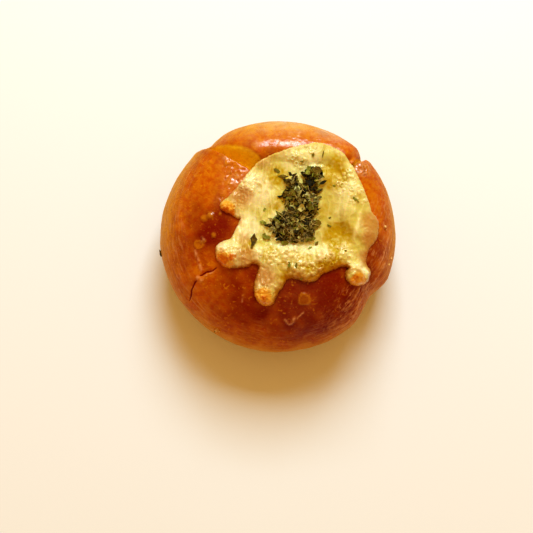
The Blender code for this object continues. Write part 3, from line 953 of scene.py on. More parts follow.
def dress_crust(piece, crust):
    """Raises the relief of the skin, and keeps the masks of its colours."""
    points, normals = points_of(piece), normals_of(piece)
    depth = np.array([crust.depth_of(Vector(point)) for point in points.tolist()])
    height = points[:, 2]
    flank = fades(height, 47, 33) * fades(height, 0, 6)
    blisters, gold = blister_relief(points)
    waver = noise_at(points, CREASE_WAVER_SIZE, 3.9) * CREASE_WAVER
    creases, creased = line_relief(points[:, 0] + waver, points[:, 1] - waver, CREASES)
    creased *= smooth_all(0.75 + 1.4 * noise_at(points, 1.6 * MM, 6.2))
    above = height > EQUATOR_HEIGHT
    rise = crust_relief(points, depth, flank) + blisters + crumple_relief(points) * above
    cracks, crack_shade = line_relief(points[:, 0], points[:, 1], CRACKS)
    rise += (creases + cracks) * above
    rise *= fades(height, 0, 2)
    set_points(piece, points + normals * rise[:, None])
    set_mask(piece, "cut_depth", smooth_all((depth - 0.3 * MM) / SKIN_DEPTH))
    set_mask(piece, "blistered", gold)
    frayed = patches(points, FRAYED) * smooth_all(0.6 + 1.8 * noise_at(points, 1.1 * MM, 2.1))
    # Creases and frayed places, dry and pale; the ridge corner's pale line is a painted highlight.
    set_mask(piece, "creased", np.maximum(creased, frayed) * above)
    set_mask(piece, "streaky", 1 - patches(points, STREAKLESS))
    patchy = noise_at(points, 5.0 * MM, 6.6) * 0.35
    # The darkest glaze, partly baked dark and partly painted shade, darker higher up.
    darkest_and_shaded = patches(points, DARKEST_AND_SHADED) + patchy * above
    darkest_and_shaded *= 0.25 + 0.75 * fades(height, 28, 43)
    set_mask(piece, "darkest_and_shaded", darkest_and_shaded)
    # The mask of the cracks, for the painted shade in them.
    set_mask(piece, "crack_shade", crack_shade * above)
    # Paler skin low down, partly less baked and partly painted light, all round but the front,
    # which lies in shade; and painted light on the back.
    low_down = fades(height, 46, 31)
    away_from_front = fades(points[:, 1], -26, 4)
    paler_and_lit = low_down * away_from_front + patchy * 0.4 * low_down
    golden = smooth_all((points[:, 1] - LIT_BACK[0]) / (LIT_BACK[1] - LIT_BACK[0]))
    golden *= 0.85 + 0.5 * noise_at(points, 4.0 * MM, 5.5)
    set_mask(piece, "paler_and_lit", np.maximum(paler_and_lit, golden))
    set_mask(piece, "scratched", patches(points, SCRATCHED))
    glossy = patches(points, GLOSSY) * (0.7 + 0.5 * noise_at(points, 2.5 * MM, 4.4))
    set_mask(piece, "glossy", glossy * above)


# ---------------------------------------------------------------------------------------
# The cheese


def cheese_edge():
    """The edge of the cheese seen from above, as even steps along a ragged line."""
    line = np.array(curve_points(CHEESE_EDGE_LINE, 12, closed=True))
    steps = np.linalg.norm(np.roll(line, -1, 0) - line, axis=1)
    run = np.concatenate([[0], np.cumsum(steps)])
    closed = np.vstack([line, line[:1]])
    count = int(run[-1] / EDGE_SPACING)
    at = np.arange(count) * run[-1] / count
    edge = np.column_stack([np.interp(at, run, closed[:, axis]) for axis in (0, 1)])
    tangent = np.roll(edge, -1, 0) - np.roll(edge, 1, 0)
    tangent /= np.linalg.norm(tangent, axis=1)[:, None]
    inward = np.column_stack([tangent[:, 1], -tangent[:, 0]])
    size, rise = EDGE_RAGGEDNESS
    flat = np.column_stack([edge, np.zeros(count)])
    wave = noise_at(flat, size, 2.2) + 0.5 * noise_at(flat, size / 2.3, 4.1)
    return edge + inward * (wave * rise)[:, None], inward


def inside(places, edge):
    """Which places lie inside a closed line seen from above."""
    within = np.zeros(len(places), bool)
    for (x0, y0), (x1, y1) in zip(edge, np.roll(edge, -1, 0)):
        if y0 == y1:
            continue
        spans = (places[:, 1] > min(y0, y1)) & (places[:, 1] <= max(y0, y1))
        across = x0 + (places[:, 1] - y0) * (x1 - x0) / (y1 - y0)
        within ^= spans & (places[:, 0] < across)
    return within


def distance_inside(places, edge):
    tree = KDTree(len(edge))
    for index, (x, y) in enumerate(edge.tolist()):
        tree.insert((x, y, 0), index)
    tree.balance()
    return np.array([tree.find((x, y, 0))[2] for x, y in places.tolist()])


def filled_sheet(edge, spacing):
    """Places and triangles that fill the inside of a closed line, the line's own first."""
    low, high = edge.min(0), edge.max(0)
    rows = np.arange(low[1], high[1], spacing * math.sqrt(0.75))
    lattice = [
        (x + (row % 2) * spacing / 2, y)
        for row, y in enumerate(rows)
        for x in np.arange(low[0], high[0], spacing)
    ]
    lattice = np.array(lattice)
    lattice = lattice[inside(lattice, edge)]
    lattice = lattice[distance_inside(lattice, edge) > 0.55 * spacing]
    places = [Vector(place) for place in np.vstack([edge, lattice]).tolist()]
    loop = [(index, (index + 1) % len(edge)) for index in range(len(edge))]
    made = delaunay_2d_cdt(places, loop, [], 1, 1e-9, True)
    verts, triangles, origins = made[0], made[2], made[3]
    first = {}
    for index, sources in enumerate(origins):
        for source in sources:
            first[source] = index
    rim = [first[index] for index in range(len(edge))]
    verts = np.array(verts)
    middles = np.array([verts[triangle].mean(0) for triangle in triangles])
    kept = inside(middles, edge)
    triangles = [triangle for triangle, keep in zip(triangles, kept) if keep]
    return verts, triangles, rim


def heap_rise(x, y):
    """The low mound under the parsley."""
    rise = np.zeros(len(x))
    for heap in HEAPS.values():
        (cx, cy), (across, along) = heap["at"], heap["half"]
        off = np.hypot((x / MM - cx) / across, (y / MM - cy) / along)
        rise = np.maximum(rise, np.exp(-((off / 1.05) ** 4)))
    return HEAP_MOUND * rise


def line_relief(x, y, lines):
    """How far raised lines rise at each place, and how near their middle each place is."""
    rise, nearest = np.zeros(len(x)), np.zeros(len(x))
    for fold in lines.values():
        knots = [np.array(point) * MM for point in fold["line"]]
        closest, along = np.full(len(x), 1.0), np.zeros(len(x))
        spans = len(knots) - 1
        for span, (start, end) in enumerate(zip(knots, knots[1:])):
            run = end - start
            share = ((x - start[0]) * run[0] + (y - start[1]) * run[1]) / (run @ run)
            share = np.clip(share, 0, 1)
            off = np.hypot(x - start[0] - share * run[0], y - start[1] - share * run[1])
            along = np.where(off < closest, (span + share) / spans, along)
            closest = np.minimum(closest, off)
        taper = np.sqrt(np.clip(1 - (2 * along - 1) ** 4, 0, 1))
        shape = np.exp(-((closest / (fold["half_width"] * MM)) ** 2)) * taper
        rise += shape * fold["rise"] * MM
        nearest = np.maximum(nearest, shape)
    return rise, nearest


def bubble_rise(x, y, rng):
    """Small bubbles in the bubbly places, some whole and some burst."""
    rise = np.zeros(len(x))
    smallest, largest = BUBBLE_RADIUS
    for spot in BUBBLY.values():
        for _ in range(spot["count"]):
            off = direction(rng.uniform(0, math.tau)) * spot["radius"] * rng.random() ** 0.6
            radius = (smallest + (largest - smallest) * rng.random() ** 2.2) * MM
            cx, cy = (spot["at"][0] + off.x) * MM, (spot["at"][1] + off.y) * MM
            burst = rng.random() < BURST_SHARE
            reach = radius * 1.3
            close = np.flatnonzero((abs(x - cx) < reach) & (abs(y - cy) < reach))
            from_middle = np.hypot(x[close] - cx, y[close] - cy) / radius
            if burst:
                ring = np.exp(-(((from_middle - 0.8) / 0.25) ** 2))
                shape = ring - 0.5 * np.exp(-((from_middle / 0.5) ** 2))
            else:
                shape = np.sqrt(np.clip(1 - from_middle**2, 0, 1))
            rise[close] = np.maximum(rise[close], shape * radius * BUBBLE_RISE_SHARE)
    return rise


class FilledGround:
    """The crust under the cheese with its grooves filled, as a grid to look heights up in."""

    def __init__(self, crust, low, high):
        self.low, self.step = low, GROUND_STEP
        counts = np.ceil((high - low) / self.step).astype(int) + 2
        across, along = (low[axis] + np.arange(counts[axis]) * self.step for axis in (0, 1))
        grid = np.array([[crust.height(x, y) for y in along] for x in across])
        filled = grid.copy()
        for _ in range(GROUND_STEPS):
            wide = np.pad(filled, 1, mode="edge")
            around = wide[:-2, 1:-1] + wide[2:, 1:-1] + wide[1:-1, :-2] + wide[1:-1, 2:]
            filled = np.maximum(grid, around / 4)
        climb_x, climb_y = np.gradient(filled, self.step)
        self.heights = filled
        self.levelness = np.maximum(1 / np.sqrt(1 + climb_x**2 + climb_y**2), LEAST_SLOPE)

    def at(self, places):
        """The filled height at each place, and the upright share of its slope's normal."""
        off = (places - self.low) / self.step
        cell = np.clip(off.astype(int), 0, np.array(self.heights.shape) - 2)
        along, across = (off - cell).T
        column, row = cell.T
        found = []
        for grid in (self.heights, self.levelness):
            near_side = grid[column, row] * (1 - along) + grid[column + 1, row] * along
            far_side = grid[column, row + 1] * (1 - along) + grid[column + 1, row + 1] * along
            found.append(near_side * (1 - across) + far_side * across)
        return found


def cheese_top(places, edge, crust, rim_count, relief):
    """The height of the top of the cheese at each place, the rim's places first."""
    x, y = places[:, 0], places[:, 1]
    distance = distance_inside(places, edge)
    distance[:rim_count] = 0
    ground, steep = np.array([crust.at(*place) for place in places.tolist()]).T
    filled, levelness = FilledGround(crust, edge.min(0) - MM, edge.max(0) + MM).at(places)
    bridged = smooth_all(distance / BRIDGING_WIDTH + 0.35)
    ground = ground + np.maximum(filled - ground, 0) * bridged
    steep = np.maximum(steep, levelness)
    under = ground + CHEESE_GAP / steep
    swell = np.zeros(len(places))
    for spot in SWELLINGS.values():
        off = off_spot(places, spot)
        swell += spot["rise"] * MM * np.exp(-(np.clip(off, 0, 3) ** 3) * 1.1)
    within = smooth_all(distance / THINNING_WIDTH)
    thick = CHEESE_EDGE + (CHEESE_THICKNESS - CHEESE_EDGE) * within + np.maximum(swell, 0)
    over = under + thick / steep + np.minimum(swell, 0)
    from_middle = np.hypot(x - CHEESE_CENTRE.x, y - CHEESE_CENTRE.y) / CHEESE_RADIUS
    pool = CHEESE_POOL_HEIGHT - CHEESE_DOME * from_middle**2 + swell
    pool += (y - CHEESE_CENTRE.y) * CHEESE_POOL_TILT
    higher = np.maximum(over, pool)
    blend = np.clip(1 - abs(over - pool) / CHEESE_BLEND / 2, 0, 1)
    top = higher + CHEESE_BLEND * blend * blend / 4
    top += heap_rise(x, y) + relief * smooth_all(distance / (1.4 * MM) + 0.25)
    lip = 1 - np.clip(distance / LIP_WIDTH, 0, 1)
    low = under - CHEESE_GAP
    rounded = LIP_LOW_SHARE + (1 - LIP_LOW_SHARE) * np.sqrt(np.clip(1 - lip**2, 0, 1))
    return low + (top - low) * rounded


def cheese_relief(places, rng):
    """How far the unevenness, strands, ripples, folds and bubbles of the cheese rise."""
    flat = np.column_stack([places, np.zeros(len(places))])
    x, y = places[:, 0], places[:, 1]
    rise = unevenness(flat, *CHEESE_UNEVENNESS)
    ridged = 1 - 2 * abs(noise_at(flat, RIDGE_SIZE, 12.4))
    rise += np.clip(ridged, 0, 1) ** 3 * RIDGE_RISE
    knobbly = fades(y, -6, -14)
    rise += abs(noise_at(flat, KNOB_SIZE, 2.7)) * KNOB_RISE * knobbly
    strands = 1 - 3 * abs(noise_at(flat, STRAND_SIZE, 3.7))
    rise += np.clip(strands, 0, 1) * STRAND_RISE * fades(x, 3, -5)
    warp = 1 + 0.3 * noise_at(flat, 3.4 * MM, 5.9)
    for spot in RIPPLES.values():
        off = off_spot(places, spot) * warp
        wave = np.cos(off * spot["radius"] * MM / RIPPLE_WAVE * math.tau)
        rise += wave * RIPPLE_RISE * smooth_all(1.3 - off)
    return rise + line_relief(x, y, FOLDS)[0] + bubble_rise(x, y, rng)


def make_cheese(crust, spacing):
    """The top of the cheese, a lip that tucks in under its rim, and an underside."""
    rng = random.Random(CHEESE_SEED)
    edge, inward = cheese_edge()
    places, triangles, rim = filled_sheet(edge, spacing)
    order = rim + [index for index in range(len(places)) if index not in set(rim)]
    rank = {index: place for place, index in enumerate(order)}
    places = places[order]
    relief = cheese_relief(places, rng)
    heights = cheese_top(places, edge, crust, len(edge), relief)
    tuck = edge + inward * LIP_TUCK
    tuck_heights = [crust.at(*place)[0] - CHEESE_SINK for place in tuck.tolist()]
    coarse, coarse_triangles, coarse_rim = filled_sheet(tuck[::UNDER_STRIDE], UNDER_SPACING)
    bm = bmesh.new()
    top = [bm.verts.new((*place, z)) for place, z in zip(places.tolist(), heights)]
    low = [bm.verts.new((*place, z)) for place, z in zip(tuck.tolist(), tuck_heights)]
    for triangle in triangles:
        bm.faces.new([top[rank[index]] for index in triangle])
    count = len(edge)
    for index in range(count):
        after = (index + 1) % count
        bm.faces.new((top[after], top[index], low[index], low[after]))
    middle = [
        bm.verts.new((*place, crust.at(*place)[0] - CHEESE_SINK)) for place in coarse.tolist()
    ]
    for triangle in coarse_triangles:
        bm.faces.new([middle[index] for index in reversed(triangle)])
    spokes = [middle[index] for index in coarse_rim]
    for index, start in enumerate(spokes):
        after = spokes[(index + 1) % len(spokes)]
        first = index * UNDER_STRIDE
        stretch = [low[(first + step) % count] for step in range(UNDER_STRIDE + 1)]
        if index == len(spokes) - 1:
            stretch = low[first:] + [low[0]]
        bm.faces.new([after, start] + stretch)
    bmesh.ops.remove_doubles(bm, verts=low + spokes, dist=0.01 * MM)
    bm.verts.index_update()
    bmesh.ops.triangulate(bm, faces=[face for face in bm.faces if len(face.verts) > 4])
    bmesh.ops.recalc_face_normals(bm, faces=bm.faces)
    piece = piece_from("melted_cheese", bm)
    mask_cheese(piece, edge)
    raised = np.full(len(piece.data.vertices), 0.5)
    raised[: len(places)] += relief / RELIEF_SPAN
    set_mask(piece, "raised", raised)
    return piece


def mask_cheese(piece, edge):
    """Keeps the masks of the colours of the cheese."""
    points = points_of(piece)
    flat = points * np.array((1, 1, 0))
    ragged = noise_at(flat, 1.6 * MM, 3.3) * 0.35 + noise_at(flat, 4.5 * MM, 1.9) * 0.3
    to_front = np.exp(-(((points[:, 0] - 12 * MM) / (12 * MM)) ** 2))
    rim_width = (2.2 + 4.6 * to_front) * MM
    rim = 1 - smooth_all(distance_inside(points[:, :2], edge) / rim_width)
    browned, burnt = patches(points, BROWNED), patches(points, BURNT)
    set_mask(piece, "browned", browned * 1.2 + ragged * 0.9 * (browned > 0.02) - 0.05)
    set_mask(piece, "burnt", burnt + ragged * 0.8 * (burnt > 0.02))
    blotched = noise_at(flat, 1.3 * MM, 7.1) * 0.9
    yellow, whiter = patches(points, YELLOW), patches(points, WHITER)
    set_mask(piece, "yellow", yellow * (1 + blotched) + ragged * 0.4)
    set_mask(piece, "whiter", whiter * (1 - blotched) + ragged * 0.3)
    set_mask(piece, "thin", patches(points, THIN) + ragged * 0.3)
    at_front = fades(points[:, 1], -6, -14)
    set_mask(piece, "rim", (rim + ragged) * (0.2 + 0.8 * at_front))


# ---------------------------------------------------------------------------------------
# The parsley and the crumbs


def leaf_bit(bm, place, tilt, length, narrow, bend, rng):
    """A thin bent bit of leaf with a ragged rim."""
    rim = []
    for step in range(FLAKE_RIM_POINTS):
        angle = math.tau * (step + rng.uniform(-0.3, 0.3)) / FLAKE_RIM_POINTS
        reach = rng.uniform(0.32, 0.56)
        rim.append(direction(angle) * reach)
    twist = rng.uniform(-0.8, 0.8)

    def sheet(lift):
        def raised(point):
            x, y = point.x * length, point.y * length * narrow
            rise = bend * length * (point.x * 2) ** 2 + twist * point.x * y
            return place + tilt @ Vector((x, y, rise + lift))

        outer = [bm.verts.new(raised(point)) for point in rim]
        inner = [bm.verts.new(raised(point * 0.5)) for point in rim]
        return outer, inner, bm.verts.new(raised(Vector((0, 0))))

    upper, lower = sheet(FLAKE_THICKNESS / 2), sheet(-FLAKE_THICKNESS / 2)
    for step in range(FLAKE_RIM_POINTS):
        after = (step + 1) % FLAKE_RIM_POINTS
        for (outer, inner, middle), over in ((upper, True), (lower, False)):
            ring = (outer[step], outer[after], inner[after], inner[step])
            fan = (inner[step], inner[after], middle)
            bm.faces.new(ring if over else ring[::-1])
            bm.faces.new(fan if over else fan[::-1])
        bm.faces.new((upper[0][after], upper[0][step], lower[0][step], lower[0][after]))


def stalk_bit(bm, place, tilt, length, thickness, bend):
    """A thin bent stalk."""
    rings = []
    for station in range(STALK_STATIONS + 1):
        share = station / STALK_STATIONS - 0.5
        middle = Vector((share * length, bend * length * (share * 2) ** 2, 0))
        girth = thickness / 2 * (1 - 0.5 * abs(share))
        ring = []
        for side in range(STALK_SIDES):
            around = direction(math.tau * side / STALK_SIDES) * girth
            ring.append(bm.verts.new(place + tilt @ (middle + Vector((0, *around)))))
        rings.append(ring)
    for start, end in zip(rings, rings[1:]):
        for side in range(STALK_SIDES):
            after = (side + 1) % STALK_SIDES
            bm.faces.new((start[side], start[after], end[after], end[side]))
    bm.faces.new(rings[0][::-1])
    bm.faces.new(rings[-1])


def uneven_lie(rng, most):
    """A random tip and roll out of the level, of so many degrees at most."""
    tip = Matrix.Rotation(math.radians(rng.uniform(-most, most)), 3, "Y")
    return tip @ Matrix.Rotation(math.radians(rng.uniform(-most, most)), 3, "X")


def random_tilt(rng, most):
    return Matrix.Rotation(rng.uniform(0, math.tau), 3, "Z") @ uneven_lie(rng, most)


def named_tilt(rng, spot):
    """The turn that a flake is given, lying nearly flat."""
    turn = Matrix.Rotation(math.radians(spot["turn"]), 3, "Z")
    return turn @ uneven_lie(rng, FLAT_TILT)


def heap_place(rng, shares):
    """A random place in the heap, and how far out it lies, from 0 to 1."""
    heap = rng.choices(list(HEAPS.values()), shares)[0]
    off = direction(rng.uniform(0, math.tau)) * rng.random() ** 0.55
    (cx, cy), (across, along) = heap["at"], heap["half"]
    return Vector((cx + off.x * across, cy + off.y * along)) * MM, off.length


def surface_tree(piece):
    triangles = [list(face.vertices) for face in piece.data.polygons]
    return BVHTree.FromPolygons([vert.co for vert in piece.data.vertices], triangles)


def drop_on(tree, plan, rise):
    """The place on a surface under a plan place, raised."""
    hit = tree.ray_cast(Vector((*plan, OVERHEAD)), DOWN)[0]
    return hit + Vector((0, 0, rise))


def heap_of_leaves(name, tree, count, shares, drawn, seed):
    """Random bits of leaf on the heap, most of them short, and lower towards its edge."""
    rng = random.Random(seed)
    shortest, longest = drawn["lengths"]
    bm = bmesh.new()
    for _ in range(count):
        plan, out = heap_place(rng, shares)
        length = (shortest + (longest - shortest) * rng.random() ** 1.7) * MM
        rise = rng.uniform(*drawn["rises"]) * MM * (1 - out**3 * 0.8)
        place = drop_on(tree, plan, rise)
        tilt = random_tilt(rng, LEAF_TILT)
        narrow, bend = rng.uniform(*drawn["narrows"]), rng.uniform(*drawn["bends"])
        leaf_bit(bm, place, tilt, length, narrow, bend, rng)
    return piece_from(name, bm)


def heap_of_stalks(tree, count):
    """Random bits of stalk on top of the heap."""
    rng = random.Random(FLAKE_SEED + 3)
    bm = bmesh.new()
    for _ in range(count):
        plan, _ = heap_place(rng, STALK_SHARES)
        place = drop_on(tree, plan, rng.uniform(*STALKS["rises"]) * MM)
        length = rng.uniform(*STALKS["lengths"]) * MM
        tilt = random_tilt(rng, STALK_TILT)
        girth = rng.uniform(*STALKS["girths"]) * MM
        stalk_bit(bm, place, tilt, length, girth, rng.uniform(*STALKS["bends"]))
    return piece_from("parsley_stalks", bm)


def named_leaves(tree, spots):
    """The flakes that have places of their own, on the cheese and on top of the heap."""
    rng = random.Random(FLAKE_SEED + 2)
    bm = bmesh.new()
    for spot in spots:
        rise = (NAMED_RISE + spot.get("up", 0)) * MM
        place = drop_on(tree, Vector(spot["at"]) * MM, rise)
        tilt = named_tilt(rng, spot)
        bend = rng.uniform(*NAMED_BENDS)
        leaf_bit(bm, place, tilt, spot["length"] * MM, spot["narrow"], bend, rng)
    return piece_from("parsley_loose_leaves", bm)


def scattered_crumbs(tree):
    """Rough little crumbs, sunk a little into the crust."""
    bm = bmesh.new()
    for spot in CRUMBS.values():
        width = spot["width"] * MM
        place = drop_on(tree, Vector(spot["at"]) * MM, 0.2 * width)
        made = bmesh.ops.create_icosphere(bm, subdivisions=3, radius=width / 2)
        for vert in made["verts"]:
            rough = noise.noise(vert.co / CRUMB_ROUGHNESS_SIZE + place / MM)
            vert.co = place + vert.co * (1 + rough * CRUMB_ROUGHNESS)
    piece = piece_from("crumbs", bm)
    piece.data.shade_smooth()
    return piece


def clinging_flakes():
    """The bits of parsley that cling to the crust."""
    rng = random.Random(FLAKE_SEED + 4)
    bm = bmesh.new()
    for spot in CRUST_FLAKES.values():
        tilt = named_tilt(rng, spot)
        place = Vector((*spot["at"], spot["height"])) * MM
        leaf_bit(bm, place, tilt, spot["length"] * MM, spot["narrow"], CLINGING_BEND, rng)
    piece = piece_from("crust_parsley", bm)
    shade_by_bit(piece, [spot["shade"] for spot in CRUST_FLAKES.values()])
    return piece


def shade_by_bit(piece, shades):
    """One shade for each bit, kept at its points."""
    count = len(piece.data.vertices) // len(shades)
    set_mask(piece, "shade", np.repeat(shades, count))


# ---------------------------------------------------------------------------------------
# Materials


def set_inputs(tree, node, **inputs):
    """Sets the inputs of a node to values, or joins them to sockets. An input is named by its
    label with _ for spaces, or by in0, in1 and so on."""
    for name, value in inputs.items():
        if name[:2] == "in" and name[2:].isdigit():
            socket = node.inputs[int(name[2:])]
        else:
            socket = node.inputs[name.replace("_", " ")]
        if isinstance(value, bpy.types.NodeSocket):
            tree.links.new(value, socket)
        else:
            socket.default_value = value
    return node


def add_node(tree, kind, settings=None, **inputs):
    """A new shader node with its settings and inputs."""
    node = tree.nodes.new("ShaderNode" + kind)
    for name, value in (settings or {}).items():
        setattr(node, name, value)
    return set_inputs(tree, node, **inputs)


def maths(tree, operation, *values):
    inputs = {f"in{index}": value for index, value in enumerate(values)}
    return add_node(tree, "Math", {"operation": operation}, **inputs).outputs[0]


def times(tree, *values):
    return maths(tree, "MULTIPLY", *values)


def plus(tree, *values):
    return maths(tree, "ADD", *values)


def mixed(tree, factor, first, second):
    """One colour mixed into another by a factor."""
    first, second = (
        colour if isinstance(colour, bpy.types.NodeSocket) else tuple(colour)
        for colour in (first, second)
    )
    node = add_node(tree, "Mix", {"data_type": "RGBA"}, in0=factor, in6=first, in7=second)
    return node.outputs[2]


def laid_over(tree, skin, mask, share, colour):
    """A skin with a share of a colour laid over it where a mask says."""
    return mixed(tree, times(tree, mask, share), skin, colour)


def ramp_value(tree, value, start, end, low=0.0, high=1.0):
    """A value taken smoothly from one range to another."""
    spans = {"From_Min": start, "From_Max": end, "To_Min": low, "To_Max": high}
    smoothly = {"interpolation_type": "SMOOTHSTEP"}
    return add_node(tree, "MapRange", smoothly, Value=value, **spans).outputs["Result"]


def object_places(tree):
    """Where each point lies in the object's own space, in metres."""
    return add_node(tree, "TexCoord").outputs["Object"]


def mask_of(tree, name):
    return add_node(tree, "Attribute", {"attribute_name": name}).outputs["Fac"]


def new_group(name, output, **inputs):
    """A shader node group that takes places and numbers, with the output that it gives."""
    group = bpy.data.node_groups.new(name, "ShaderNodeTree")
    group.interface.new_socket("Places", in_out="INPUT", socket_type="NodeSocketVector")
    for label, default in inputs.items():
        socket = group.interface.new_socket(label, in_out="INPUT", socket_type="NodeSocketFloat")
        socket.default_value = default
    group.interface.new_socket(output, in_out="OUTPUT", socket_type="NodeSocketFloat")
    start, end = group.nodes.new("NodeGroupInput"), group.nodes.new("NodeGroupOutput")
    return group, start.outputs, end.inputs[output]


def mottling_group():
    """Uneven patches, from 0 to 1, of a size in millimetres."""
    defaults = {"Size": 3.0, "Softness": 0.25, "Detail": 3.0, "Level": 0.5}
    group, given, mask = new_group("Mottling", "Mask", **defaults)
    scale = maths(group, "DIVIDE", 1000.0, given["Size"])
    clouds = add_node(
        group, "TexNoise", Vector=given["Places"], Scale=scale, Detail=given["Detail"]
    )
    low = maths(group, "SUBTRACT", given["Level"], given["Softness"])
    high = plus(group, given["Level"], given["Softness"])
    group.links.new(ramp_value(group, clouds.outputs["Fac"], low, high), mask)
    return group


def flecks_group():
    """Small scattered spots, from 0 to 1: how far apart and how wide they are in millimetres,
    and which share of them shows."""
    group, given, mask = new_group("Flecks", "Mask", Spacing=2.0, Radius=0.4, Share=0.4)
    scale = maths(group, "DIVIDE", 1000.0, given["Spacing"])
    cells = add_node(group, "TexVoronoi", Vector=given["Places"], Scale=scale)
    radius = maths(group, "DIVIDE", given["Radius"], given["Spacing"])
    ratio = maths(group, "DIVIDE", cells.outputs["Distance"], radius)
    spot = ramp_value(group, ratio, 1.3, 0.6)
    pick = add_node(group, "SeparateColor", Color=cells.outputs["Color"]).outputs[0]
    shown = maths(group, "LESS_THAN", pick, given["Share"])
    group.links.new(times(group, spot, shown), mask)
    return group


def pores_group():
    """The fine unevenness of a baked skin, as a height in millimetres."""
    group, given, height = new_group("Pores", "Height", Size=0.8, Rise=0.05)
    scale = maths(group, "DIVIDE", 1000.0, given["Size"])
    clouds = add_node(group, "TexNoise", Vector=given["Places"], Scale=scale, Detail=3.0)
    group.links.new(times(group, clouds.outputs["Fac"], given["Rise"]), height)
    return group


def effect(tree, name, maker, **inputs):
    """The output of a shared effect, whose group is made when it is first used."""
    group = bpy.data.node_groups.get(name) or maker()
    return add_node(tree, "Group", {"node_tree": group}, **inputs).outputs[0]


def mottling(tree, places, size, softness=0.25, detail=3.0, level=0.5):
    kind = {"Size": size, "Softness": softness, "Detail": detail, "Level": level}
    return effect(tree, "Mottling", mottling_group, Places=places, **kind)


def flecks(tree, places, spacing, radius, share):
    kind = {"Spacing": spacing, "Radius": radius, "Share": share}
    return effect(tree, "Flecks", flecks_group, Places=places, **kind)


def pores(tree, places, size, rise):
    return effect(tree, "Pores", pores_group, Places=places, Size=size, Rise=rise)


def new_material(name):
    material = bpy.data.materials.new(name)
    material.use_nodes = True
    return material, material.node_tree, material.node_tree.nodes["Principled BSDF"]


def stretched(tree, places, x, y, z):
    """Places drawn out or together along each axis."""
    node = add_node(tree, "VectorMath", {"operation": "MULTIPLY"}, in0=places, in1=(x, y, z))
    return node.outputs[0]


def around_places(tree, places):
    """Places in which patterns run in long streaks round the bun: its girth is drawn small,
    and the way down its side is kept."""
    flat = stretched(tree, places, 1.0, 1.0, 0.0)
    girth = add_node(tree, "VectorMath", {"operation": "NORMALIZE"}, in0=flat).outputs[0]
    girth = stretched(tree, girth, STREAK_GIRTH, STREAK_GIRTH, 0.0)
    out = add_node(tree, "VectorMath", {"operation": "LENGTH"}, in0=flat).outputs["Value"]
    down = maths(tree, "SUBTRACT", add_node(tree, "SeparateXYZ", in0=places).outputs["Z"], out)
    lifted = add_node(tree, "CombineXYZ", in2=down).outputs[0]
    return add_node(tree, "VectorMath", {"operation": "ADD"}, in0=girth, in1=lifted).outputs[0]


def feed_bump(tree, shader, height):
    """Gives a shader a relief in millimetres."""
    bump = add_node(tree, "Bump", Height=height, Strength=1.0, Distance=MM)
    tree.links.new(bump.outputs["Normal"], shader.inputs["Normal"])


